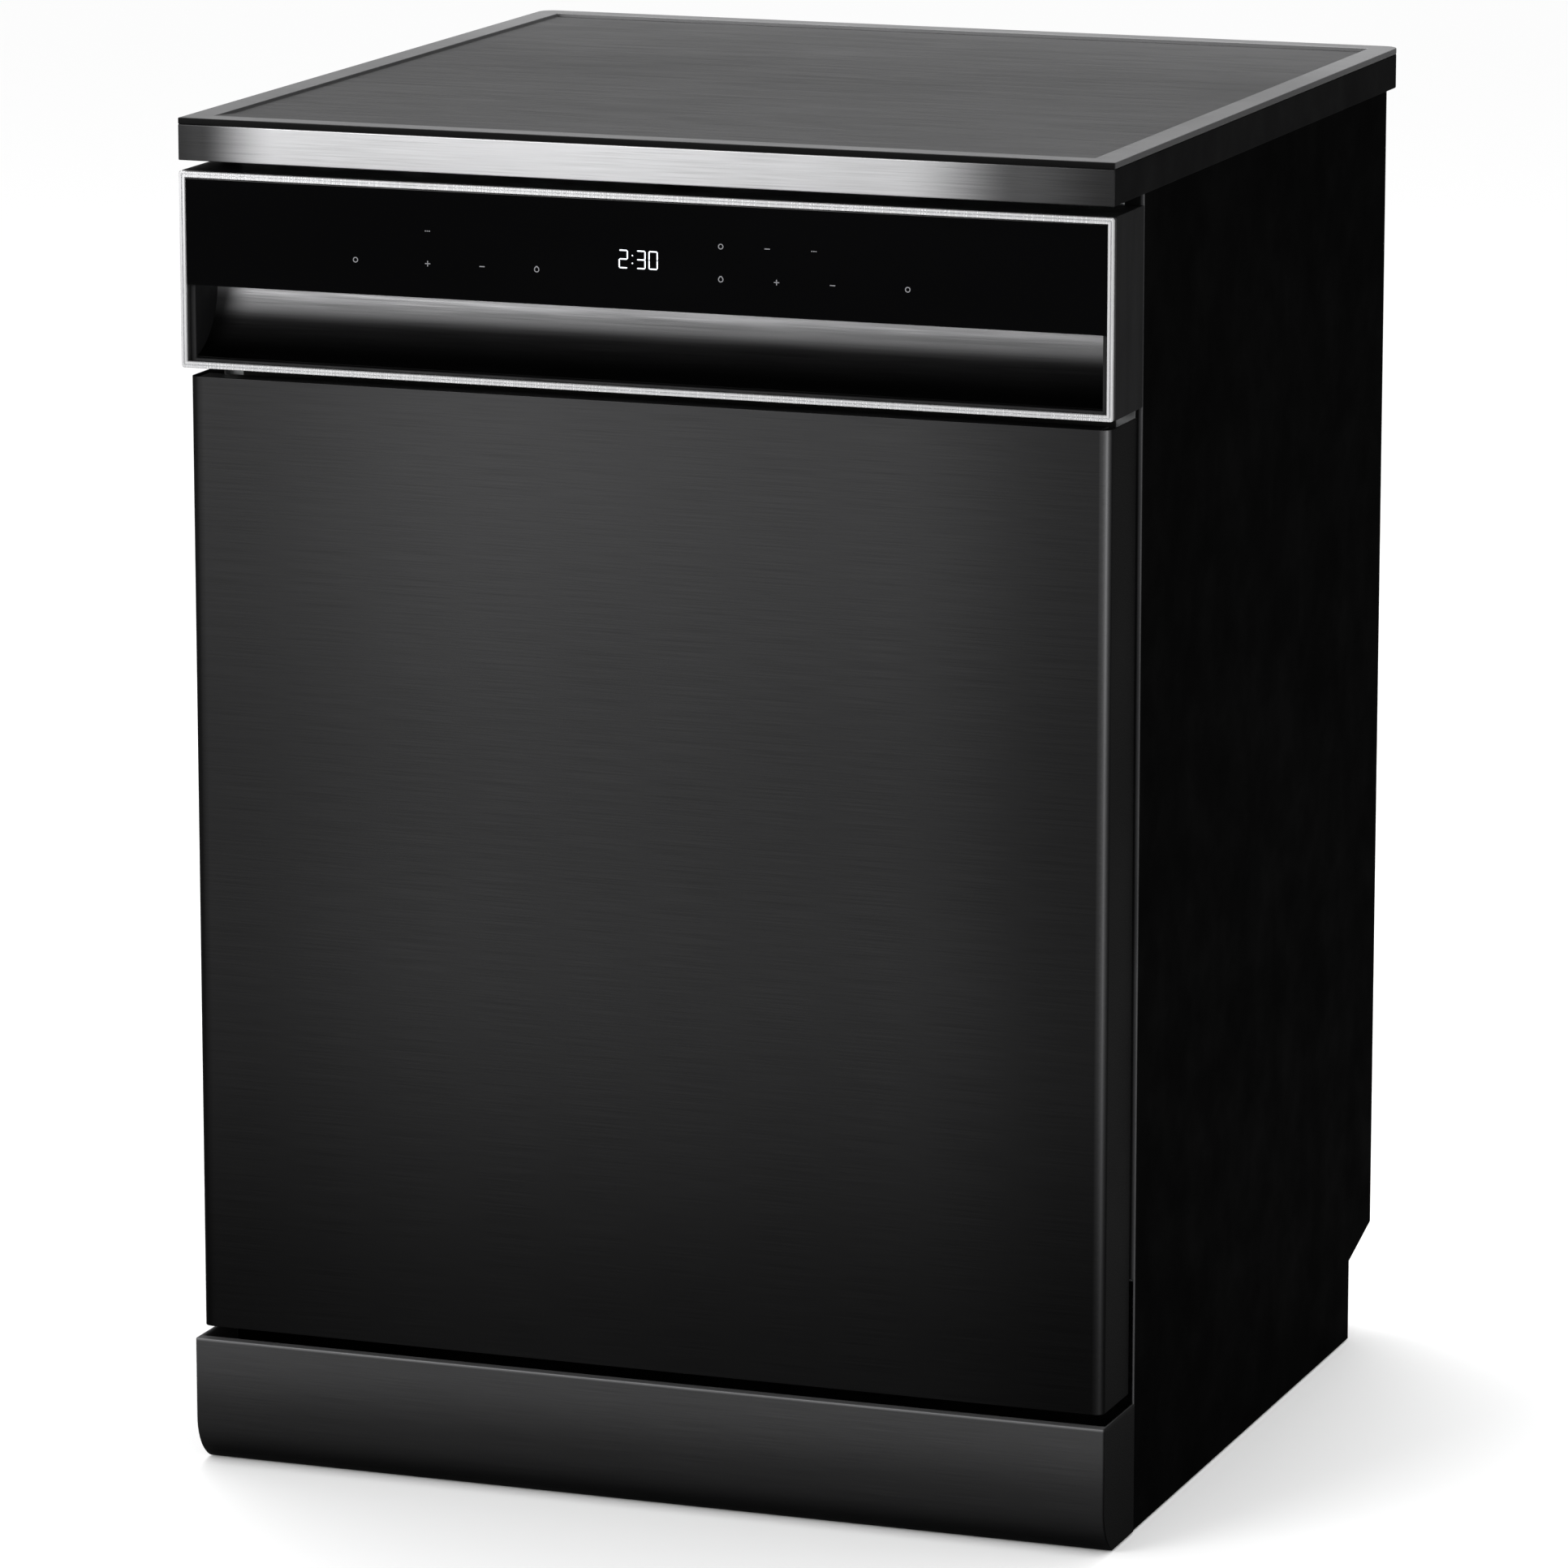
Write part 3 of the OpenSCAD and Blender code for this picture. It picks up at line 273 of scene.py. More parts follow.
@dataclass(frozen=True)
class Finish:
    """A finish with a name, a colour and a roughness."""

    name: str
    colour: Colour
    roughness: float

    def make(self) -> bpy.types.Material:
        """Returns the finish's material, built on first use."""
        found = bpy.data.materials.get(self.name)
        if found is not None:
            return found
        shader = Shader(self.name)
        self.fill(shader)
        shader.material.diffuse_color = (*self.colour, 1)
        return shader.material

    def fill(self, shader: Shader) -> None:
        """Builds the finish's nodes."""
        raise NotImplementedError


@dataclass(frozen=True)
class Brushed(Finish):
    """Steel with a grain in one direction and, where it is given, a fade of painted light and shade."""

    grain: Axis = Axis.X
    metal: float = 1.0
    contrast: float = 0.14
    fades: tuple[Fade, ...] = ()
    rim_height: float | None = None

    def fill(self, shader: Shader) -> None:
        """Builds the grain, smudges, the fades of painted light and shade, and the raised rim.

        Args:
            shader: Tree to build in.
        """
        stretch = tuple(0.012 if axis is self.grain else 1.0 for axis in Axis)
        grain = shader.noise(1400, stretch, 4)
        smudge = shader.noise(7, detail=5)
        grain_and_painted_light = shader.spread(grain, 1 - self.contrast, 1 + self.contrast * 0.2)
        # The fades multiply the grain's tone, painting light and shade into the colour: highlights,
        # reflections and shaded sides.
        for fade in self.fades:
            grain_and_painted_light = shader.times(grain_and_painted_light, fade.share(shader))
        if self.rim_height is not None:
            edge = shader.spread(shader.along(Axis.Z), 0.42, 1.0, self.rim_height - 0.4 * MM, self.rim_height)
            grain_and_painted_light = shader.times(grain_and_painted_light, edge)
        shader.blend(grain_and_painted_light, (0, 0, 0), self.colour)
        shader.fix(Metallic=self.metal, Specular_IOR_Level=0.15)
        smeared = shader.times(grain, shader.spread(smudge, 0.85, 1.15))
        shader.rough(smeared, self.roughness * 0.85, self.roughness * 1.25)
        shader.relief(grain, 0.02 * MM, 0.25)


@dataclass(frozen=True)
class Painted(Finish):
    """Powder-coated sheet with orange peel and faint dust."""

    gloss: float = 0.25
    fades: tuple[Fade, ...] = ()

    def fill(self, shader: Shader) -> None:
        """Builds the mottling, the orange peel and the fades, which paint light and shade such as a highlight
        along an edge.

        Args:
            shader: Tree to build in.
        """
        share = shader.spread(shader.noise(9, detail=6), 0.65, 1)
        # The fades multiply the tone: painted light and shade, such as the painted highlight along the
        # casing's front edge.
        for fade in self.fades:
            share = shader.times(share, fade.share(shader))
        shader.blend(share, (0, 0, 0), self.colour)
        shader.fix(Specular_IOR_Level=self.gloss)
        shader.rough(shader.noise(25, detail=5), self.roughness * 0.9, self.roughness * 1.15)
        shader.relief(shader.noise(900, detail=2), 0.03 * MM, 0.3)


@dataclass(frozen=True)
class Moulded(Finish):
    """Moulded plastic with a fine spark-eroded texture and scuffs."""

    def fill(self, shader: Shader) -> None:
        """Builds the texture and the scuffs.

        Args:
            shader: Tree to build in.
        """
        mottle = shader.spread(shader.noise(30, detail=5), 0, 1)
        shader.blend(mottle, tone(self.colour, 0.9), tone(self.colour, 1.12))
        shader.fix(Specular_IOR_Level=0.28)
        shader.rough(shader.noise(60, (1, 1, 0.2), 5), self.roughness * 0.85, self.roughness * 1.2)
        shader.relief(shader.noise(2600, detail=2), 0.03 * MM, 0.35)


@dataclass(frozen=True)
class Gloss(Finish):
    """Back-printed gloss panel with faint wipe marks."""

    def fill(self, shader: Shader) -> None:
        """Builds the wipe marks under a clear coat.

        Args:
            shader: Tree to build in.
        """
        wipe = shader.noise(11, (0.4, 1, 1.6), 6)
        shader.blend(shader.spread(wipe, 0, 1), self.colour, tone(self.colour, 1.4))
        shader.fix(Coat_Weight=0.12, Coat_Roughness=0.04, Specular_IOR_Level=0.18)
        shader.rough(wipe, self.roughness, self.roughness * 2.2)


@dataclass(frozen=True)
class Plated(Finish):
    """Plated or zinc-coated metal with a cloudy spangle."""

    spangle: float = 60

    def fill(self, shader: Shader) -> None:
        """Builds the spangle and its roughness.

        Args:
            shader: Tree to build in.
        """
        cells = shader.tree.nodes.new("ShaderNodeTexVoronoi")
        cells.inputs["Scale"].default_value = self.spangle
        shader.join(shader.place, cells.inputs["Vector"])
        cloud = shader.spread(cells.outputs["Distance"], 0, 1, 0, 0.7)
        shader.blend(cloud, tone(self.colour, 0.82), self.colour)
        shader.fix(Metallic=1.0)
        shader.rough(shader.noise(40, detail=5), self.roughness * 0.8, self.roughness * 1.3)
        shader.relief(cells.outputs["Distance"], 0.01 * MM, 0.15)


@dataclass(frozen=True)
class Rubber(Finish):
    """Matt rubber or felt with a soft sheen."""

    fibre: float = 500

    def fill(self, shader: Shader) -> None:
        """Builds the bloom and the fine texture.

        Args:
            shader: Tree to build in.
        """
        shader.blend(shader.spread(shader.noise(18, detail=6), 0, 1), self.colour, tone(self.colour, 1.8))
        shader.fix(Specular_IOR_Level=0.2, Sheen_Weight=0.15)
        shader.rough(shader.noise(50, detail=4), self.roughness * 0.9, min(1.0, self.roughness * 1.1))
        shader.relief(shader.noise(self.fibre, detail=5), 0.12 * MM, 0.4)


@dataclass(frozen=True)
class Circuit(Finish):
    """Lacquered circuit board with copper tracks below the lacquer."""

    def fill(self, shader: Shader) -> None:
        """Builds the tracks.

        Args:
            shader: Tree to build in.
        """
        brick = shader.tree.nodes.new("ShaderNodeTexBrick")
        brick.inputs["Scale"].default_value = 160
        brick.inputs["Mortar Size"].default_value = 0.03
        shader.join(shader.place, brick.inputs["Vector"])
        shader.blend(brick.outputs["Fac"], self.colour, tone(self.colour, 2.2))
        shader.fix(Coat_Weight=0.6, Coat_Roughness=0.1)
        shader.rough(shader.noise(90), self.roughness * 0.8, self.roughness * 1.3)


@dataclass(frozen=True)
class Lit(Finish):
    """Print or display segments that give off light."""

    strength: float = 1.0

    def fill(self, shader: Shader) -> None:
        """Builds a slightly uneven glow.

        Args:
            shader: Tree to build in.
        """
        shader.blend(shader.spread(shader.noise(300), 0, 1), tone(self.colour, 0.9), self.colour)
        shader.fix(Roughness=self.roughness, Emission_Strength=self.strength)
        shader.fix(Emission_Color=(*self.colour, 1))


HALF_WIDTH = CAD_BOX[1].x
TOP_Z = CAD_BOX[1].z
PANEL_LOW, PANEL_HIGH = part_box("door_panel")
SCOOP_LOW, SCOOP_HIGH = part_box("handle_scoop")
PLINTH_LOW, PLINTH_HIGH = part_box("plinth")
SIDE_LOW, SIDE_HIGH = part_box("right_side_panel")
FRAME_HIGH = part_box("fascia_frame")[1]

WHEELS = ("wheel_front_left", "wheel_front_right", "wheel_rear_left", "wheel_rear_right")

BOARD = Painted("worktop_board_black", (0.0022, 0.0022, 0.0024), 0.5, 0.1)
# Painted reflection: the fade paints the sheet darker at its front face and lighter towards the back.
SHEET = Brushed(
    "worktop_sheet_brushed", (0.33, 0.33, 0.335), 0.44, Axis.X, 0.5, 0.26,
    (Fade(Axis.Y, (
        (CAD_BOX[0].y, 0.02), (CAD_BOX[0].y + 0.5 * MM, 0.08), (CAD_BOX[0].y + 1.6 * MM, 0.7), (0, 0.72),
        (CAD_BOX[1].y, 1.0),
    )),), TOP_Z,
)
# Painted reflection: the fade paints the strip bright in the middle and dark towards both ends.
TRIM = Brushed(
    "trim_brushed_bright", (0.62, 0.62, 0.63), 0.34, Axis.X, 0.8, 0.08,
    (Fade(Axis.X, (
        (-HALF_WIDTH, 0.05), (-0.95 * HALF_WIDTH, 0.07), (-0.78 * HALF_WIDTH, 0.9), (0, 1.0),
        (0.55 * HALF_WIDTH, 0.92), (0.8 * HALF_WIDTH, 0.14), (HALF_WIDTH, 0.05),
    )),),
)
# Painted highlight: the fades paint a pale line along the front outer edge of each side panel and leave the
# rest near black.
CASING = Painted(
    "casing_black", (0.075, 0.075, 0.077), 0.55, 0.02,
    (
        Fade(Axis.Y, (
            (SIDE_LOW.y, 1.0), (SIDE_LOW.y + 0.9 * MM, 1.0), (SIDE_LOW.y + 1.3 * MM, 0.008),
            (SIDE_HIGH.y, 0.008),
        )),
        Fade(Axis.X, (
            (-SIDE_HIGH.x, 1.0), (0.8 * MM - SIDE_HIGH.x, 0.06), (SIDE_HIGH.x - 0.8 * MM, 0.06),
            (SIDE_HIGH.x, 1.0),
        )),
    ),
)
ZINC = Plated("zinc_sheet", (0.5, 0.51, 0.52), 0.42)
BLACK_PLASTIC = Moulded("plastic_black", (0.006, 0.006, 0.0065), 0.5)
# Painted reflection and shade: the fades paint the panel darker towards the bottom, its left rounded edge
# dark and a highlight along its right fold.
DOOR_STEEL = Brushed(
    "door_steel_dark", (0.15, 0.15, 0.153), 0.42, Axis.X, 0.6, 0.12,
    (
        Fade(Axis.Z, ((PANEL_LOW.z, 0.15), (0.5 * (PANEL_LOW.z + PANEL_HIGH.z), 0.66), (PANEL_HIGH.z, 1.0))),
        Fade(Axis.X, (
            (PANEL_LOW.x, 0.05), (PANEL_LOW.x + 4 * MM, 0.08), (PANEL_LOW.x + 9 * MM, 0.22), (-0.1, 0.36),
            (0.15, 0.3), (PANEL_HIGH.x - 6 * MM, 0.14), (PANEL_HIGH.x - 2.5 * MM, 1.0),
            (PANEL_HIGH.x - 0.5 * MM, 0.2), (PANEL_HIGH.x, 0.0),
        )),
    ),
)
# Painted shade and highlight: the fades paint the plinth dark towards the bottom, a highlight line along its
# top edge and its right side dark.
PLINTH_PAINT = Brushed(
    "plinth_dark_brushed", (0.16, 0.16, 0.163), 0.42, Axis.X, 0.5, 0.12,
    (
        Fade(Axis.Z, (
            (PLINTH_LOW.z, 0.01), (0.35 * PLINTH_HIGH.z, 0.12), (PLINTH_HIGH.z - 2 * MM, 0.34),
            (PLINTH_HIGH.z - 0.8 * MM, 1.0), (PLINTH_HIGH.z, 0.7),
        )),
        Fade(Axis.X, ((PLINTH_HIGH.x - 1.6 * MM, 1.0), (PLINTH_HIGH.x, 0.1))),
    ),
)
TUB_STEEL = Brushed("tub_steel", (0.62, 0.63, 0.64), 0.3, Axis.Z, 1.0, 0.1)
SEAL = Rubber("seal_rubber_black", (0.012, 0.012, 0.013), 0.7)
FELT = Rubber("mat_felt", (0.012, 0.0118, 0.0112), 0.95, 900)
HARDWARE = Plated("hardware_steel", (0.66, 0.66, 0.66), 0.28, 150)
WORKS = Moulded("works_plastic_dark", (0.045, 0.047, 0.05), 0.45)
FILTER = Brushed("filter_steel", (0.52, 0.52, 0.53), 0.3, Axis.Y, 1.0, 0.12)
WHITE_PLASTIC = Moulded("plastic_white", (0.68, 0.68, 0.65), 0.42)
GREY_PLASTIC = Moulded("plastic_grey", (0.2, 0.21, 0.225), 0.4)
BLUE_PLASTIC = Moulded("plastic_blue", (0.05, 0.14, 0.32), 0.38)
# Painted shade: the fade keeps the frame's front bright and paints its sides and back dark.
BRIGHT = Brushed(
    "frame_polished", (0.9, 0.9, 0.91), 0.24, Axis.Z, 0.7, 0.06,
    (Fade(Axis.Y, (
        (CAD_BOX[0].y, 1.0), (CAD_BOX[0].y + 1.0 * MM, 0.9), (CAD_BOX[0].y + 1.5 * MM, 0.1),
        (FRAME_HIGH.y, 0.06),
    )),),
)
GLASS = Gloss("glass_black", (0.0002, 0.0002, 0.0003), 0.05)
# Painted reflection and shade: the fade paints the pocket bright at the top and dark towards the bottom.
SCOOP = Brushed(
    "scoop_brushed", (0.55, 0.55, 0.56), 0.4, Axis.X, 0.8, 0.12,
    (Fade(Axis.Z, (
        (SCOOP_LOW.z, 0.0), (0.55 * SCOOP_LOW.z + 0.45 * SCOOP_HIGH.z, 0.03),
        (0.28 * SCOOP_LOW.z + 0.72 * SCOOP_HIGH.z, 0.22), (SCOOP_HIGH.z, 1.0),
    )),),
)
BOARD_GREEN = Circuit("circuit_green", (0.01, 0.09, 0.035), 0.35)
WIRE = Rubber("wire_coated_grey", (0.3, 0.31, 0.325), 0.4, 250)
# Painted shade: dark discs laid on the filter plate stand in for its holes.
HOLE_SHADE = Moulded("hole_shadow", (0.004, 0.004, 0.004), 0.9)
DIGITS = Lit("display_white", (0.8, 0.84, 0.9), 0.4, 0.75)
PRINT = Lit("key_print", (0.16, 0.16, 0.17), 0.6, 0.1)

FINISHED_NODES: tuple[tuple[Finish, str], ...] = (
    (BOARD, "worktop_core"),
    (SHEET, "worktop_top"),
    (TRIM, "worktop_trim"),
    (CASING, "left_side_panel right_side_panel"),
    (ZINC, "rear_panel top_crossmember hinge_brackets"),
    (BLACK_PLASTIC, "base_tray feet mains_inlet fascia_housing"),
    (PLINTH_PAINT, "plinth"),
    (TUB_STEEL, "tub_wrap tub_back tub_floor tub_flange door_liner"),
    (SEAL, "tub_gasket"),
    (FELT, "insulation_mats"),
    (HARDWARE, "hinge_pins door_springs hinge_arms door_striker casing_screws fixed_rails "
     "rail_slides"),
    (WORKS, "sump circulation_pump drain_pump"),
    (FILTER, "fine_filter"),
    (GREY_PLASTIC, "coarse_filter supply_pipe upper_feed_tube detergent_dispenser dispenser_lid "
     "salt_cap lower_spray_arm upper_spray_arm top_sprayer cup_shelf_left "
     "cup_shelf_right cutlery_basket wheel_front_left wheel_front_right "
     "wheel_rear_left wheel_rear_right"),
    (WHITE_PLASTIC, "water_softener inlet_valve latch_housing latch_lever"),
    (BLUE_PLASTIC, "rinse_aid_cap"),
    (BRIGHT, "fascia_frame"),
    (GLASS, "control_glass"),
    (SCOOP, "handle_scoop"),
    (BOARD_GREEN, "control_board"),
    (DOOR_STEEL, "door_panel"),
    (WIRE, "upper_basket lower_basket folding_tines"),
)
NODE_FINISHES: dict[str, Finish] = {
    node: finish for finish, nodes in FINISHED_NODES for node in nodes.split()
}
NODE_BODIES: dict[str, str] = {
    node: body for body, nodes in frame["record"]["behaviour"]["bodies"].items() for node in nodes
}


def cad(node: str) -> bpy.types.Object:
    """Returns the object of one of the frame's nodes."""
    return frame["nodes"][node]


# ---- Making pieces -------------------------------------------------------------------------


class Shape:
    """A mesh being built, in the frame's own place."""

    def __init__(self) -> None:
        """Starts an empty mesh."""
        self.mesh = bmesh.new()

    @classmethod
    def copy_of(cls, *nodes: str) -> "Shape":
        """Copies nodes of the frame with their corners merged and their flat faces joined.

        Args:
            nodes: Names of the nodes.

        Returns:
            The shape.
        """
        shape = cls()
        for node in nodes:
            source = cad(node).data
            corners = [shape.mesh.verts.new(vertex.co) for vertex in source.vertices]
            for face in source.polygons:
                shape.mesh.faces.new([corners[index] for index in face.vertices])
        bmesh.ops.remove_doubles(shape.mesh, verts=shape.mesh.verts, dist=0.002 * MM)
        bmesh.ops.dissolve_limit(
            shape.mesh, angle_limit=math.radians(0.4), verts=shape.mesh.verts, edges=shape.mesh.edges
        )
        return shape

    def ease(self, width: float, segments: int = 2) -> "Shape":
        """Rounds the sharp edges.

        Args:
            width: Size of the rounding.
            segments: Faces across the rounding.

        Returns:
            This shape.
        """
        edges = [
            edge for edge in self.mesh.edges
            if edge.is_manifold and edge.calc_face_angle(0) > SMOOTH_ANGLE
        ]
        bmesh.ops.bevel(
            self.mesh, geom=edges, offset=width, segments=segments, profile=0.5, affect="EDGES",
            clamp_overlap=False,
        )
        return self

    def loops(self, rings: Sequence[Sequence[Point]], closed: bool = False, capped: bool = True) -> "Shape":
        """Joins rings of points with faces.

        Args:
            rings: Rings of equally many points.
            closed: Whether the last ring joins the first.
            capped: Whether the first and last rings are filled when they don't join.

        Returns:
            This shape.
        """
        made = [[self.mesh.verts.new(point) for point in ring] for ring in rings]
        pairs = list(zip(made, made[1:])) + ([(made[-1], made[0])] if closed else [])
        for one, other in pairs:
            for index in range(len(one)):
                following = (index + 1) % len(one)
                self.mesh.faces.new((one[index], one[following], other[following], other[index]))
        if capped and not closed:
            self.mesh.faces.new(made[0][::-1])
            self.mesh.faces.new(made[-1])
        return self

    def lathe(
        self, centre: Point, axis: Axis, profile: Outline, steps: int = 48, closed: bool = False
    ) -> "Shape":
        """Turns a profile about an axis through a centre.

        Args:
            centre: A point on the axis, from which the profile's heights count.
            axis: Direction of the axis.
            profile: Radius and height of each corner, starting and ending near the axis.
            steps: Faces round the axis.
            closed: Whether the profile's last corner joins its first.

        Returns:
            This shape.
        """
        return self.loops([
            [turned(centre, axis, radius, height, math.tau * step / steps) for step in range(steps)]
            for radius, height in profile
        ], closed)

    def block(self, low: Point, high: Point, ease: float = 0) -> "Shape":
        """Adds an eight-cornered solid with optional eased edges.

        Args:
            low: Its low corner.
            high: Its high corner.
            ease: Size of the edges' rounding, or 0 for sharp edges.

        Returns:
            This shape.
        """
        size = Vector(high) - Vector(low)
        middle = (Vector(high) + Vector(low)) / 2
        place = Matrix.Translation(middle) @ Matrix.Diagonal((*size, 1))
        made = bmesh.ops.create_cube(self.mesh, size=1, matrix=place)
        if ease:
            edges = list(dict.fromkeys(edge for vertex in made["verts"] for edge in vertex.link_edges))
            bmesh.ops.bevel(self.mesh, geom=edges, offset=ease, segments=2, profile=0.5, affect="EDGES")
        return self

    def data(self, name: str) -> bpy.types.Mesh:
        """Turns the shape into a mesh with outward faces and smooth rounds.

        Args:
            name: Name of the mesh.

        Returns:
            The mesh.
        """
        bmesh.ops.recalc_face_normals(self.mesh, faces=self.mesh.faces)
        for face in self.mesh.faces:
            face.smooth = True
        mesh = bpy.data.meshes.new(name)
        self.mesh.to_mesh(mesh)
        self.mesh.free()
        mesh.set_sharp_from_angle(angle=SMOOTH_ANGLE)
        return mesh


def turned(centre: Point, axis: Axis, radius: float, height: float, angle: float) -> Point:
    """Gives a point at a radius, height and angle about an axis.

    Args:
        centre: Point on the axis, from which the height counts.
        axis: Direction of the axis.
        radius: Distance from the axis.
        height: Distance along the axis.
        angle: Angle about the axis in radians.

    Returns:
        The point.
    """
    across, along = radius * math.cos(angle), radius * math.sin(angle)
    local = {
        Axis.X: (height, across, along), Axis.Y: (along, height, across), Axis.Z: (across, along, height),
    }
    return tuple(c + o for c, o in zip(centre, local[axis]))


def rounded_loop(low: Corner, high: Corner, radius: float, steps: int = 4) -> list[Corner]:
    """Outlines an upright rectangle with rounded corners.

    Args:
        low: Its low corner.
        high: Its high corner.
        radius: Radius of the corners.
        steps: Faces round each corner.

    Returns:
        The outline's corners, counter-clockwise from the low right.
    """
    centres = (
        (high[0] - radius, low[1] + radius, -90), (high[0] - radius, high[1] - radius, 0),
        (low[0] + radius, high[1] - radius, 90), (low[0] + radius, low[1] + radius, 180),
    )
    return [
        (x + radius * math.cos(math.radians(start + 90 * step / steps)),
         z + radius * math.sin(math.radians(start + 90 * step / steps)))
        for x, z, start in centres for step in range(steps + 1)
    ]


def bake(piece: bpy.types.Object) -> None:
    """Puts the result of a piece's modifiers in place of its mesh.

    Args:
        piece: The piece.
    """
    depsgraph = bpy.context.evaluated_depsgraph_get()
    result = bpy.data.meshes.new_from_object(piece.evaluated_get(depsgraph), depsgraph=depsgraph)
    piece.modifiers.clear()
    piece.data = result


def add_object(name: str, mesh: bpy.types.Mesh) -> bpy.types.Object:
    """Makes an object of a mesh and links it to the scene.

    Args:
        name: Name of the object.
        mesh: Its mesh.

    Returns:
        The object.
    """
    piece = bpy.data.objects.new(name, mesh)
    bpy.context.scene.collection.objects.link(piece)
    return piece


def settle(piece: bpy.types.Object, finish: Finish | None, like: str, replaces: Sequence[str] = ()) -> None:
    """Gives a finished piece its material and body.

    Args:
        piece: The piece.
        finish: Its finish, or none when its tree has set one.
        like: Node whose body it takes.
        replaces: Nodes that it stands for.
    """
    if finish is not None:
        piece.data.materials.clear()
        piece.data.materials.append(finish.make())
    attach(piece, NODE_BODIES[like])
    if replaces:
        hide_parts(*replaces)
    LOG.info("%s: %d faces, rides on %s", piece.name, len(piece.data.polygons), NODE_BODIES[like])


def eased(node: str, width: float, segments: int = 2) -> None:
    """Makes a piece that repeats a node with its sharp edges eased, and stands for it.

    Args:
        node: Name of the node.
        width: Size of the rounding.
        segments: Faces across the rounding.
    """
    piece = add_object(node + "_eased", Shape.copy_of(node).ease(width, segments).data(node + "_eased"))
    weighted = piece.modifiers.new("weighted", "WEIGHTED_NORMAL")
    weighted.keep_sharp = True
    bake(piece)
    settle(piece, NODE_FINISHES[node], node, (node,))


def add_piece(name: str, shape: Shape, finish: Finish, like: str, replaces: Sequence[str] = ()) -> None:
    """Makes a settled piece of a shape.

    Args:
        name: Name of the piece.
        shape: Its shape.
        finish: Its finish.
        like: Node whose body it takes.
        replaces: Nodes that it stands for.
    """
    settle(add_object(name, shape.data(name)), finish, like, replaces)


# ---- Geometry node trees -------------------------------------------------------------------


class Tree:
    """A geometry tree that ends in one plain, finished mesh."""

    def __init__(self, name: str, **inputs: str) -> None:
        """Starts a tree with named inputs.

        Args:
            name: Name of the tree.
            inputs: Each input's name, with _ for each space, and its socket's kind.
        """
        self.tree = bpy.data.node_groups.new(name, "GeometryNodeTree")
        self.tree.interface.new_socket("Geometry", in_out="INPUT", socket_type="NodeSocketGeometry")
        for label, kind in inputs.items():
            self.tree.interface.new_socket(
                label.replace("_", " "), in_out="INPUT", socket_type="NodeSocket" + kind
            )
        self.tree.interface.new_socket("Finish", in_out="INPUT", socket_type="NodeSocketMaterial")
        self.tree.interface.new_socket("Geometry", in_out="OUTPUT", socket_type="NodeSocketGeometry")
        self.given = self.tree.nodes.new("NodeGroupInput").outputs

    def add(self, kind: str, **values: object) -> bpy.types.Node:
        """Adds a node.

        Args:
            kind: The node's type.
            values: Sockets to link from, or values to set, by input name with _ for each space.

        Returns:
            The node.
        """
        node = self.tree.nodes.new(kind)
        for label, value in values.items():
            target = node.inputs[label.replace("_", " ")]
            if isinstance(value, Socket):
                self.tree.links.new(value, target)
            else:
                target.default_value = value
        return node

    def end(self, geometry: Socket) -> "Tree":
        """Ends the tree in real, finished geometry.

        Args:
            geometry: What the tree makes.

        Returns:
            This tree.
        """
        real = self.add("GeometryNodeRealizeInstances", Geometry=geometry)
        finished = self.add(
            "GeometryNodeSetMaterial", Geometry=real.outputs[0], Material=self.given["Finish"]
        )
        output = self.tree.nodes.new("NodeGroupOutput")
        self.tree.links.new(finished.outputs[0], output.inputs["Geometry"])
        return self

    def run(self, name: str, source: bpy.types.Mesh, finish: Finish, **values: object) -> bpy.types.Object:
        """Runs the tree on a mesh.

        Args:
            name: Name of the piece.
            source: Mesh that the tree starts from.
            finish: Finish of the result.
            values: Value of each input, by name with _ for each space.

        Returns:
            The piece, with a plain mesh and no modifier.
        """
        piece = add_object(name, source)
        modifier = piece.modifiers.new(name, "NODES")
        modifier.node_group = self.tree
        wanted = {label.replace("_", " "): value for label, value in values.items()}
        wanted["Finish"] = finish.make()
        for item in self.tree.interface.items_tree:
            if item.in_out == "INPUT" and item.name in wanted:
                modifier[item.identifier] = wanted[item.name]
        bake(piece)
        smooth(piece.data)
        return piece


def smooth(mesh: bpy.types.Mesh) -> None:
    """Shades a mesh smooth except across its sharp edges."""
    mesh.polygons.foreach_set("use_smooth", [True] * len(mesh.polygons))
    mesh.set_sharp_from_angle(angle=SMOOTH_ANGLE)


def grid_tree() -> Tree:
    """Builds the tree that repeats a shape in rows and columns.

    Returns:
        The tree.
    """
    tree = Tree("rows_and_columns", Columns="Int", Column_Step="Vector", Rows="Int", Row_Step="Vector")
    geometry = tree.given["Geometry"]
    for count, step in (("Columns", "Column Step"), ("Rows", "Row Step")):
        line = tree.add("GeometryNodeMeshLine", Count=tree.given[count], Offset=tree.given[step])
        copies = tree.add("GeometryNodeInstanceOnPoints", Points=line.outputs[0], Instance=geometry)
        geometry = copies.outputs[0]
    return tree.end(geometry)


def ring_tree() -> Tree:
    """Builds the tree that repeats a shape round an axis through a centre.

    Returns:
        The tree.
    """
    tree = Tree("round_an_axis", Count="Int", Turn="Vector", Centre="Vector")
    line = tree.add("GeometryNodeMeshLine", Count=tree.given["Count"], Offset=(0.0, 0.0, 0.0))
    index = tree.add("GeometryNodeInputIndex")
    angle = tree.add("ShaderNodeVectorMath")
    angle.operation = "SCALE"
    tree.tree.links.new(tree.given["Turn"], angle.inputs[0])
    tree.tree.links.new(index.outputs[0], angle.inputs["Scale"])
    rotation = tree.add("FunctionNodeEulerToRotation", Euler=angle.outputs[0])
    copies = tree.add(
        "GeometryNodeInstanceOnPoints", Points=line.outputs[0], Instance=tree.given["Geometry"],
        Rotation=rotation.outputs[0],
    )
    moved = tree.add("GeometryNodeTransform", Geometry=copies.outputs[0], Translation=tree.given["Centre"])
    return tree.end(moved.outputs[0])


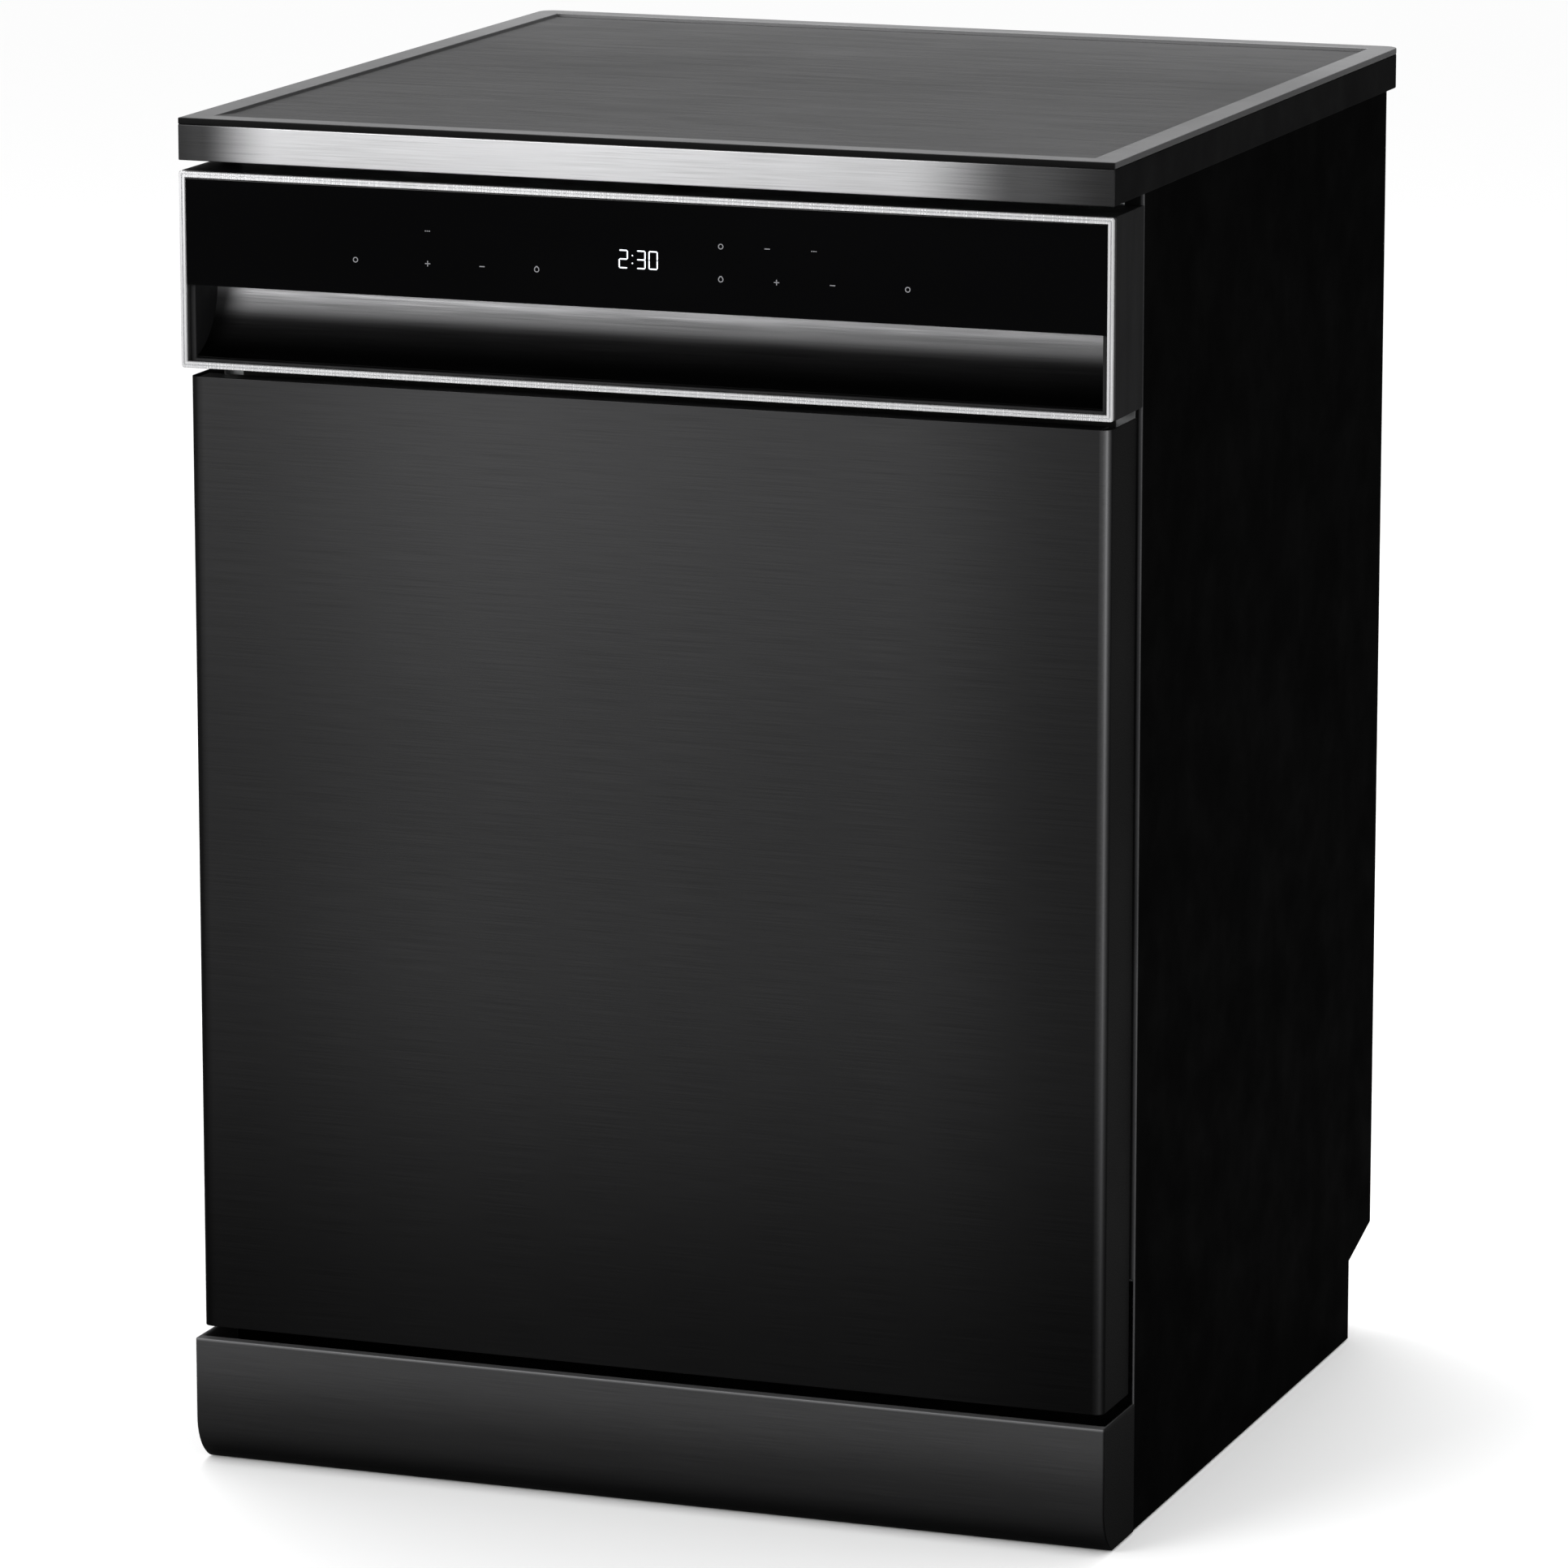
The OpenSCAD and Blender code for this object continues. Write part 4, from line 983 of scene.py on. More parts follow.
def wire_tree() -> Tree:
    """Builds the tree that sweeps a round wire with rounded bends along each polyline.

    Returns:
        The tree.
    """
    tree = Tree("bent_wire", Radius="Float", Bend="Float", Sides="Int")
    curve = tree.add("GeometryNodeMeshToCurve", Mesh=tree.given["Geometry"])
    bends = tree.add("GeometryNodeFilletCurve")
    if "Mode" in bends.inputs:
        bends.inputs["Mode"].default_value = "Poly"
    else:
        bends.mode = "POLY"
    tree.tree.links.new(curve.outputs[0], bends.inputs["Curve"])
    tree.tree.links.new(tree.given["Bend"], bends.inputs["Radius"])
    bends.inputs["Count"].default_value = 4
    bends.inputs["Limit Radius"].default_value = True
    section = tree.add(
        "GeometryNodeCurvePrimitiveCircle", Resolution=tree.given["Sides"], Radius=tree.given["Radius"]
    )
    swept = tree.add("GeometryNodeCurveToMesh", Curve=bends.outputs[0], Profile_Curve=section.outputs[0])
    swept.inputs["Fill Caps"].default_value = True
    return tree.end(swept.outputs[0])


def coil_tree() -> Tree:
    """Builds the tree of a round-wire coil spring that runs along +Y from the given centre.

    Returns:
        The tree.
    """
    tree = Tree("coil_spring", Turns="Float", Radius="Float", Wire="Float", Length="Float", Start="Vector")
    spiral = tree.add(
        "GeometryNodeCurveSpiral", Resolution=14, Rotations=tree.given["Turns"],
        Start_Radius=tree.given["Radius"], End_Radius=tree.given["Radius"], Height=tree.given["Length"],
    )
    section = tree.add("GeometryNodeCurvePrimitiveCircle", Resolution=6, Radius=tree.given["Wire"])
    swept = tree.add("GeometryNodeCurveToMesh", Curve=spiral.outputs[0], Profile_Curve=section.outputs[0])
    swept.inputs["Fill Caps"].default_value = True
    placed = tree.add(
        "GeometryNodeTransform", Geometry=swept.outputs[0], Translation=tree.given["Start"],
        Rotation=(-math.pi / 2, 0.0, 0.0),
    )
    return tree.end(placed.outputs[0])


GRID = grid_tree()
RING = ring_tree()
BENT_WIRE = wire_tree()
COIL = coil_tree()


def polylines(name: str, lines: Sequence[Sequence[Point]]) -> bpy.types.Mesh:
    """Makes a mesh of open polylines for the wire tree.

    Args:
        name: Name of the mesh.
        lines: The corners of each polyline.

    Returns:
        The mesh.
    """
    points = [point for line in lines for point in line]
    edges, start = [], 0
    for line in lines:
        edges += [(start + step, start + step + 1) for step in range(len(line) - 1)]
        start += len(line)
    mesh = bpy.data.meshes.new(name)
    mesh.from_pydata(points, edges, [])
    return mesh


def spaced(low: float, high: float, count: int) -> list[float]:
    """Spaces a number of places evenly from low to high, both included."""
    return [low + (high - low) * step / (count - 1) for step in range(count)]


# ---- Sub-assemblies ------------------------------------------------------------------------


@dataclass
class Screws:
    """Cross-recess pan-head screws at the places of the frame's own screws."""

    steps: int = 24
    recess: float = 0.9 * MM
    arm: float = 0.33

    def head(self, radius: float, height: float) -> bpy.types.Mesh:
        """Builds one head about the Y axis, with its seat at the origin.

        Args:
            radius: Radius of the head.
            height: Height of the head.

        Returns:
            The head's mesh.
        """
        shape = Shape()
        profile = ((0.02, 0), (1, 0), (1, 0.35), (0.86, 0.8), (0.6, 1), (0.57, 1), (0.2, 1), (0.02, 1))
        rings = []
        for across, along in profile:
            ring = []
            for step in range(self.steps):
                angle = math.tau * step / self.steps
                sunk = across < 0.58 and along == 1 and abs(math.sin(2 * angle)) < self.arm * 2
                depth = self.recess if sunk else 0
                ring.append(turned((0, 0, 0), Axis.Y, across * radius, along * height - depth, angle))
            rings.append(ring)
        return shape.loops(rings).data("screw_head")

    def build(self) -> None:
        """Sets a head at each screw's place."""
        places, radius, height = self.places()
        template = add_object("screw_template", self.head(radius, height))
        tree = Tree("at_places", Shape="Object")
        source = tree.add("GeometryNodeObjectInfo", Object=tree.given["Shape"])
        copies = tree.add(
            "GeometryNodeInstanceOnPoints", Points=tree.given["Geometry"], Instance=source.outputs["Geometry"]
        )
        tree.end(copies.outputs[0])
        points = bpy.data.meshes.new("screw_places")
        points.from_pydata(places, [], [])
        screws = tree.run("cabinet_screws", points, HARDWARE, Shape=template)
        bpy.data.objects.remove(template)
        settle(screws, None, "casing_screws", ("casing_screws",))

    @staticmethod
    def places() -> tuple[list[Point], float, float]:
        """Finds the seats of the screws.

        Returns:
            The middle of each seat, then the heads' radius and height.
        """
        shape = Shape.copy_of("casing_screws").mesh
        left = set(shape.verts)
        heads = []
        while left:
            island, front = set(), [left.pop()]
            while front:
                vertex = front.pop()
                island.add(vertex.co.copy().freeze())
                near = {edge.other_vert(vertex) for edge in vertex.link_edges} & left
                left -= near
                front += near
            low = [min(point[axis.value] for point in island) for axis in Axis]
            high = [max(point[axis.value] for point in island) for axis in Axis]
            seat = ((low[0] + high[0]) / 2, low[1], (low[2] + high[2]) / 2)
            heads.append((seat, (high[0] - low[0]) / 2, high[1] - low[1]))
        shape.free()
        heads.sort()
        return [seat for seat, _, _ in heads], heads[0][1], heads[0][2]


@dataclass
class Casing:
    """Worktop, panels, plinth and feet."""

    board_ease: float = 0.7 * MM
    sheet_ease: float = 0.6 * MM
    panel_ease: float = 0.35 * MM
    plinth_ease: float = 0.7 * MM

    def build(self) -> None:
        """Builds the outer pieces with eased edges."""
        eased("worktop_core", self.board_ease)
        eased("worktop_top", self.sheet_ease, 3)
        eased("worktop_trim", self.sheet_ease, 3)
        eased("left_side_panel", self.panel_ease, 3)
        eased("right_side_panel", self.panel_ease, 3)
        eased("plinth", self.plinth_ease, 3)
        eased("feet", self.board_ease)
        Screws().build()


@dataclass
class Display:
    """White seven-segment digits behind the glass, shown as a plain running time."""

    height: float = 10.5 * MM
    width: float = 5.2 * MM
    stroke: float = 0.75 * MM
    pitch: float = 7.8 * MM
    relief: float = 0.12 * MM
    digits: tuple[str, ...] = ("abged", "abgcd", "abcdef")

    def bar(self, shape: Shape, one: Corner, other: Corner, face: float) -> None:
        """Adds a six-cornered segment between two points of the glass.

        Args:
            shape: Shape that takes the segment.
            one: Its first end.
            other: Its second end.
            face: The glass's front.
        """
        along = (Vector(other) - Vector(one)).normalized()
        side = Vector((-along.y, along.x)) * self.stroke / 2
        tip = along * self.stroke / 2
        start, end = Vector(one) + tip * 0.2, Vector(other) - tip * 0.2
        outline = (start, start + tip + side, end - tip + side, end, end - tip - side, start + tip - side)
        shape.loops([[(p.x, y, p.y) for p in outline] for y in (face, face - self.relief)])

    def build(self) -> None:
        """Sets the digits and the colon in the middle of the glass."""
        low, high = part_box("control_glass")
        middle_z = (low.z + high.z) / 2 - 0.04 * (high.z - low.z)
        left = (low.x + high.x) / 2 - 1.5 * self.pitch
        shape = Shape()
        for place, lit in enumerate(self.digits):
            x0 = left + place * self.pitch + (self.pitch * 0.45 if place else 0)
            x1 = x0 + self.width
            top, bottom = middle_z + self.height / 2, middle_z - self.height / 2
            ends = {
                "a": ((x0, top), (x1, top)), "b": ((x1, top), (x1, middle_z)),
                "c": ((x1, middle_z), (x1, bottom)), "d": ((x0, bottom), (x1, bottom)),
                "e": ((x0, middle_z), (x0, bottom)), "f": ((x0, top), (x0, middle_z)),
                "g": ((x0, middle_z), (x1, middle_z)),
            }
            for segment in lit:
                self.bar(shape, *ends[segment], low.y)
        colon_x = left + self.pitch + 0.08 * self.pitch
        for rise in (-0.22, 0.22):
            z = middle_z + rise * self.height
            shape.block(
                (colon_x - self.stroke / 2, low.y - self.relief, z - self.stroke / 2),
                (colon_x + self.stroke / 2, low.y, z + self.stroke / 2),
            )
        add_piece("display_digits", shape, DIGITS, "control_glass")


@dataclass
class KeyMarks:
    """Plain printed signs beside the touch keys."""

    size: float = 3.4 * MM
    stroke: float = 0.55 * MM
    relief: float = 0.1 * MM
    upper_row: float = 0.62
    lower_row: float = 0.32
    upper: tuple[tuple[float, Mark], ...] = (
        (0.27, Mark.DOTS), (0.59, Mark.RING), (0.64, Mark.BAR), (0.69, Mark.DOTS),
    )
    lower: tuple[tuple[float, Mark], ...] = (
        (0.19, Mark.RING), (0.27, Mark.CROSS), (0.33, Mark.BAR), (0.39, Mark.DROP),
        (0.59, Mark.DROP), (0.65, Mark.CROSS), (0.71, Mark.BAR), (0.79, Mark.RING),
    )

    def build(self) -> None:
        """Prints both rows of signs."""
        low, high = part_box("control_glass")
        shape = Shape()
        for share, row in ((self.upper_row, self.upper), (self.lower_row, self.lower)):
            z = low.z + share * (high.z - low.z)
            for across, mark in row:
                self.add(shape, mark, low.x + across * (high.x - low.x), z, low.y)
        add_piece("key_marks", shape, PRINT, "control_glass")

    def add(self, shape: Shape, mark: Mark, x: float, z: float, face: float) -> None:
        """Adds one sign centred on a place of the glass.

        Args:
            shape: Shape that takes the sign.
            mark: Which sign.
            x: Place across the glass.
            z: Height of the place.
            face: The glass's front.
        """
        half = self.size / 2
        if mark in (Mark.RING, Mark.DROP):
            inner = half - self.stroke
            stretch = 0.3 if mark is Mark.DROP else 0.0
            rings, front = [], face - self.relief
            for radius, y in ((half, face), (half, front), (inner, front), (inner, face)):
                rings.append([
                    (x + radius * math.cos(angle), y,
                     z + radius * math.sin(angle) * (1 + stretch * max(0.0, math.sin(angle)) ** 3))
                    for angle in (math.tau * step / 20 for step in range(20))
                ])
            shape.loops(rings, closed=True)
            return
        bars = {
            Mark.BAR: ((-half, half),), Mark.CROSS: ((-half, half),),
            Mark.DOTS: ((-half, -half / 2), (-half / 4, half / 4), (half / 2, half)),
        }
        for start, end in bars[mark]:
            low = (x + start, face - self.relief, z - self.stroke / 2)
            shape.block(low, (x + end, face, z + self.stroke / 2))
        if mark is Mark.CROSS:
            for side in (-1, 1):
                shape.block(
                    (x - self.stroke / 2, face - self.relief, z + side * half * 0.62 - half * 0.38),
                    (x + self.stroke / 2, face, z + side * half * 0.62 + half * 0.38),
                )


@dataclass
class Fascia:
    """Control fascia with its polished frame, glass, marks and handle pocket."""

    bar: float = 4.0 * MM
    corner: float = 1.6 * MM
    groove: float = 1.1 * MM

    def frame_profile(self, depth: float) -> list[Corner]:
        """Lists the corners of the frame's section.

        Args:
            depth: Depth of the frame from front to back.

        Returns:
            Distance in from the outline and height from the back of each corner.
        """
        crown, edge, groove, bar = depth, depth - 0.7 * MM, self.groove, self.bar
        return [
            (0, 0), (0, edge), (0.1 * bar, crown), (0.36 * bar, crown), (0.43 * bar, crown - groove),
            (0.53 * bar, crown - groove), (0.6 * bar, crown), (0.9 * bar, crown), (bar, edge), (bar, 0),
        ]

    def frame(self) -> None:
        """Sweeps the frame's section round the fascia."""
        low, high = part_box("fascia_frame")
        shape = Shape()
        rings = []
        for inset, height in self.frame_profile(high.y - low.y):
            radius = max(self.corner - inset, 0.3 * MM)
            loop = rounded_loop((low.x + inset, low.z + inset), (high.x - inset, high.z - inset), radius)
            rings.append([(x, high.y - height, z) for x, z in loop])
        shape.loops(rings, closed=True)
        add_piece("fascia_frame_polished", shape, BRIGHT, "fascia_frame", ("fascia_frame",))

    def build(self) -> None:
        """Builds the fascia's pieces."""
        eased("fascia_housing", 0.6 * MM)
        eased("control_glass", 0.7 * MM, 3)
        eased("handle_scoop", 0.3 * MM)
        self.frame()
        Display().build()
        KeyMarks().build()


@dataclass
class Door:
    """Outer panel, liner, dispenser and hinge arms."""

    panel_ease: float = 0.3 * MM
    liner_ease: float = 0.2 * MM
    plastic_ease: float = 0.5 * MM
    mat: float = 0.7 * MM
    mat_margin: float = 12 * MM
    mat_gap: float = 0.5 * MM

    def mats(self) -> None:
        """Lays thin mats on the liner's hidden face, above and below the dispenser."""
        low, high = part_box("door_liner")
        hole_low, hole_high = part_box("detergent_dispenser")
        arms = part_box("hinge_arms")[1]
        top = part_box("fascia_housing")[0].z - self.mat_gap
        face = low.y - 0.2 * MM
        half = high.x - self.mat_margin
        shape = Shape()
        for start, end in (
            (arms.z + self.mat_margin, hole_low.z - self.mat_margin),
            (hole_high.z + self.mat_margin, top),
        ):
            shape.block((-half, face - self.mat, start), (half, face, end), 0.2 * MM)
        add_piece("door_damping_mats", shape, FELT, "fascia_housing")

    def build(self) -> None:
        """Builds the door's pieces with eased edges."""
        self.mats()
        eased("door_panel", self.panel_ease, 3)
        eased("door_liner", self.liner_ease)
        eased("detergent_dispenser", self.plastic_ease)
        eased("dispenser_lid", self.plastic_ease, 3)
        eased("rinse_aid_cap", 0.5 * MM)
        eased("hinge_arms", 0.4 * MM)


@dataclass
class Filters:
    """Dark discs on the plate round the filter cup, painted shade standing in for its perforations."""

    hole: float = 1.1 * MM
    pitch: float = 4.6 * MM
    sides: int = 6

    def build(self) -> None:
        """Lays rings of dark discs on the plate as painted shade for its holes, and eases the cup."""
        eased("coarse_filter", 0.8 * MM)
        low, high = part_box("fine_filter")
        middle = ((low.x + high.x) / 2, (low.y + high.y) / 2, high.z)
        cup_low, cup_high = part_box("coarse_filter")
        outer = (high.x - low.x) / 2 - 2 * self.pitch
        rings = int(outer / self.pitch)
        pieces = []
        for ring in range(4, rings + 1):
            radius = ring * self.pitch
            count = int(math.tau * ring)
            # Each hole is a dark disc 0.1 mm thick laid on the plate: painted shade, not a cut.
            dot = Shape().lathe((radius, 0, 0), Axis.Z, ((self.hole, 0), (self.hole, 0.1 * MM)), self.sides)
            pieces.append(RING.run(
                "holes", dot.data("holes"), HOLE_SHADE, Count=count, Turn=(0, 0, math.tau / count), Centre=middle
            ))
        self.join(pieces, cup_low, cup_high, middle)

    def join(self, pieces: list[bpy.types.Object], low: Vector, high: Vector, middle: Point) -> None:
        """Joins the rings of hole discs, leaving out those under the cup.

        Args:
            pieces: One object for each ring.
            low: The cup's low corner.
            high: The cup's high corner.
            middle: Not used.
        """
        cup = ((low.x + high.x) / 2, (low.y + high.y) / 2, (high.x - low.x) / 2 + 2 * self.hole)
        shape = bmesh.new()
        for piece in pieces:
            shape.from_mesh(piece.data)
            bpy.data.objects.remove(piece)
        covered = [v for v in shape.verts if math.hypot(v.co.x - cup[0], v.co.y - cup[1]) < cup[2]]
        bmesh.ops.delete(shape, geom=covered, context="VERTS")
        loose = [f for f in shape.faces if any(not e.is_manifold for e in f.edges)]
        bmesh.ops.delete(shape, geom=loose, context="FACES")
        mesh = bpy.data.meshes.new("filter_perforations")
        shape.to_mesh(mesh)
        shape.free()
        settle(add_object("filter_perforations", mesh), HOLE_SHADE, "fine_filter")


@dataclass
class SprayArm:
    """A hollow spray arm with slotted nozzles on the side it sprays to."""

    node: str
    upward: bool
    nozzles: int
    inner: float
    radius: float = 3.4 * MM
    height: float = 1.2 * MM

    def build(self) -> None:
        """Builds the arm and repeats its nozzles along both halves."""
        eased(self.node, 1.6 * MM, 3)
        low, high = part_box(self.node)
        middle = (low.y + high.y) / 2
        side = 1 if self.upward else -1
        face = high.z if self.upward else low.z
        step = (high.x - self.inner - 4 * self.radius) / (self.nozzles - 1)
        profile = ((0.02, -0.2), (1.0, -0.2), (0.8, 1.0), (0.35, 1.0), (0.3, 0.5), (0.02, 0.5))
        nozzle = [(r * self.radius, side * h * self.height) for r, h in profile]
        for name, way in (("right", 1), ("left", -1)):
            shape = Shape().lathe((way * self.inner, middle, face), Axis.Z, nozzle, 16)
            label = f"{self.node}_nozzles_{name}"
            row = GRID.run(
                label, shape.data(label), GREY_PLASTIC, Columns=self.nozzles,
                Column_Step=(way * step, 0, 0), Rows=1, Row_Step=(0, 0, 0),
            )
            settle(row, None, self.node)


@dataclass
class WireBasket:
    """A basket of coated wire with rounded bends."""

    node: str
    depth: float
    cross_side: int
    tine_rows: tuple[tuple[int, int, float], ...]
    half_width: float = 247 * MM
    rim: float = 2.5 * MM
    wire: float = 1.8 * MM
    bend: float = 9 * MM
    floor_pitch: float = 45 * MM
    upright_pitch: float = 70 * MM
    tine: float = 78 * MM

    def __post_init__(self) -> None:
        """Takes the basket's place from its node."""
        low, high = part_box(self.node)
        self.side = self.half_width - self.rim
        self.front, self.back = low.y + self.rim, high.y - self.rim
        self.top = high.z - self.rim
        self.floor = self.top - self.depth
        self.columns = round(2 * self.side / self.floor_pitch)

    def column(self, index: int) -> float:
        """Gives the place across of a floor wire."""
        return -self.side + index * 2 * self.side / self.columns

    def rims(self) -> bpy.types.Object:
        """Sweeps the upper and lower rims.

        Returns:
            The piece.
        """
        mesh = bpy.data.meshes.new(self.node + "_rims")
        corners = ((-1, 0), (1, 0), (1, 1), (-1, 1))
        points, edges = [], []
        for z in (self.floor, self.top):
            start = len(points)
            points += [(side * self.side, self.back if back else self.front, z) for side, back in corners]
            edges += [(start + step, start + (step + 1) % 4) for step in range(4)]
        mesh.from_pydata(points, edges, [])
        return BENT_WIRE.run(self.node + "_rims", mesh, WIRE, Radius=self.rim, Bend=self.bend * 1.6, Sides=10)

    def wires(self) -> bpy.types.Object:
        """Sweeps the wires that run down, across the floor and up again.

        Returns:
            The piece.
        """
        lines = []
        inset = self.rim * 0.4
        for index in range(1, self.columns):
            x = self.column(index)
            front, back = self.front + inset, self.back - inset
            lines.append([
                (x, front, self.top), (x, front, self.floor), (x, back, self.floor), (x, back, self.top),
            ])
        cross = self.floor + self.cross_side * 2 * self.wire
        rows = round((self.back - self.front) / self.upright_pitch)
        for y in spaced(self.front, self.back, rows + 1)[1:-1]:
            side = self.side - inset
            lines.append([(-side, y, self.top), (-side, y, cross), (side, y, cross), (side, y, self.top)])
        mesh = polylines(self.node + "_wires", lines)
        return BENT_WIRE.run(self.node + "_wires", mesh, WIRE, Radius=self.wire, Bend=self.bend, Sides=8)

    def tines(self) -> None:
        """Repeats the plate supports along each row."""
        step = 2 * self.side / self.columns
        for number, (first, last, y) in enumerate(self.tine_rows):
            profile = (
                (0.1, 0), (1, 0), (1, self.tine - self.wire), (0.7, self.tine - 0.4 * self.wire),
                (0.1, self.tine),
            )
            shape = Shape().lathe(
                (self.column(first), y, self.floor), Axis.Z,
                [(radius * self.wire, height) for radius, height in profile], 8,
            )
            name = f"{self.node}_tines_{number + 1}"
            row = GRID.run(
                name, shape.data(name), WIRE, Columns=last - first + 1, Column_Step=(step, 0, 0), Rows=1,
                Row_Step=(0, 0, 0),
            )
            settle(row, None, self.node)

    def build(self) -> None:
        """Builds the rims, the wires and the plate supports."""
        settle(self.rims(), None, self.node, (self.node,))
        settle(self.wires(), None, self.node)
        self.tines()


@dataclass
class LowerBasket(WireBasket):
    """The lower basket with its wheel carriers."""

    plate: float = 3 * MM
    half: float = 13 * MM
    drop: float = 8 * MM
    rise: float = 22 * MM
    pin: tuple[Corner, ...] = ((0.2, -1), (3, -1), (3, 8.4), (5, 8.6), (5, 10), (0.2, 10))

    def build(self) -> None:
        """Builds the basket and its wheel carriers."""
        super().build()
        shape = Shape()
        for node in WHEELS:
            low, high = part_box(node)
            middle = (low + high) / 2
            way = 1 if middle.x > 0 else -1
            inner, outer = sorted((way * self.half_width, way * (self.half_width + self.plate)))
            start = (inner, middle.y - self.half, middle.z - self.drop)
            shape.block(start, (outer, middle.y + self.half, self.floor + self.rise), 0.8 * MM)
            seat = (middle.x - way * (high.x - low.x) / 2, middle.y, middle.z)
            shape.lathe(seat, Axis.X, [(radius * MM, way * height * MM) for radius, height in self.pin], 20)
        add_piece("wheel_carriers", shape, GREY_PLASTIC, self.node)


@dataclass
class UpperBasket(WireBasket):
    """The upper basket with the runners that it hangs on."""

    runner: float = 4.5 * MM
    seat: float = 4.4 * MM
    half_height: float = 10 * MM
    hanger_half: float = 22 * MM
    from_front: float = 76 * MM
    from_back: float = 79 * MM

    def build(self) -> None:
        """Builds the basket, its runners and their hangers."""
        super().build()
        low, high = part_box(self.node)
        rail_low, rail_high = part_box("rail_slides")
        rail_z = (rail_low.z + rail_high.z) / 2
        shape = Shape()
        for way in (-1, 1):
            inner, outer = sorted((way * (high.x - self.runner), way * high.x))
            bottom, top = rail_z - self.half_height, rail_z + self.half_height
            shape.block((inner, rail_low.y, bottom), (outer, rail_high.y, top), 0.5 * MM)
            inner, outer = sorted((way * self.half_width, way * (high.x - self.seat)))
            for y in (self.front + self.from_front, self.back - self.from_back):
                front, back = y - self.hanger_half, y + self.hanger_half
                shape.block((inner, front, bottom), (outer, back, top), 0.8 * MM)
        add_piece("basket_runners", shape, HARDWARE, self.node)


@dataclass
class FoldingTines:
    """The row of plate supports that folds flat."""

    wire: float = 1.8 * MM
    count: int = 7
    side: float = 244.5 * MM
    floor_pitch: float = 45 * MM
    bar_height: float = 2 * MM
    lead: float = 0.2

    def build(self) -> None:
        """Builds the bar and its supports as bent wires."""
        low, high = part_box("folding_tines")
        y, z = (low.y + high.y) / 2, low.z + self.bar_height
        step = 2 * self.side / round(2 * self.side / self.floor_pitch)
        first = low.x + self.lead * step
        lines = [[(low.x, y, z), (high.x, y, z)]]
        for index in range(self.count):
            x = first + index * step
            lines.append([(x, y, z), (x, y, high.z)])
        mesh = polylines("folding_tines_wires", lines)
        row = BENT_WIRE.run("folding_tines_wires", mesh, WIRE, Radius=self.wire, Bend=0.5 * MM, Sides=10)
        settle(row, None, "folding_tines", ("folding_tines",))


@dataclass
class Wheel:
    """A moulded wheel with a rounded tread and spokes."""

    node: str
    spokes: int = 6
    steps: int = 40

    def build(self) -> None:
        """Builds the tread, the hub and the spokes."""
        low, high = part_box(self.node)
        middle = (low + high) / 2
        radius, half = (high.z - low.z) / 2, (high.x - low.x) / 2
        tread = (
            (0.78, -0.9), (0.92, -1), (0.98, -0.7), (1, 0), (0.98, 0.7), (0.92, 1), (0.78, 0.9), (0.76, 0),
        )
        hub = ((0.22, -1), (0.34, -1), (0.36, -0.8), (0.36, 0.8), (0.34, 1), (0.22, 1))
        shape = Shape()
        for profile in (tread, hub):
            shape.lathe(middle, Axis.X, [(r * radius, h * half) for r, h in profile], self.steps, True)
        add_piece(self.node + "_tread", shape, GREY_PLASTIC, self.node, (self.node,))
        inner = (-0.55 * half, -0.06 * radius, 0.34 * radius)
        spoke = Shape().block(inner, (0.55 * half, 0.06 * radius, 0.8 * radius), 0.3 * MM)
        label = self.node + "_spokes"
        ring = RING.run(
            label, spoke.data(label), GREY_PLASTIC, Count=self.spokes, Turn=(math.tau / self.spokes, 0, 0),
            Centre=tuple(middle),
        )
        settle(ring, None, self.node)


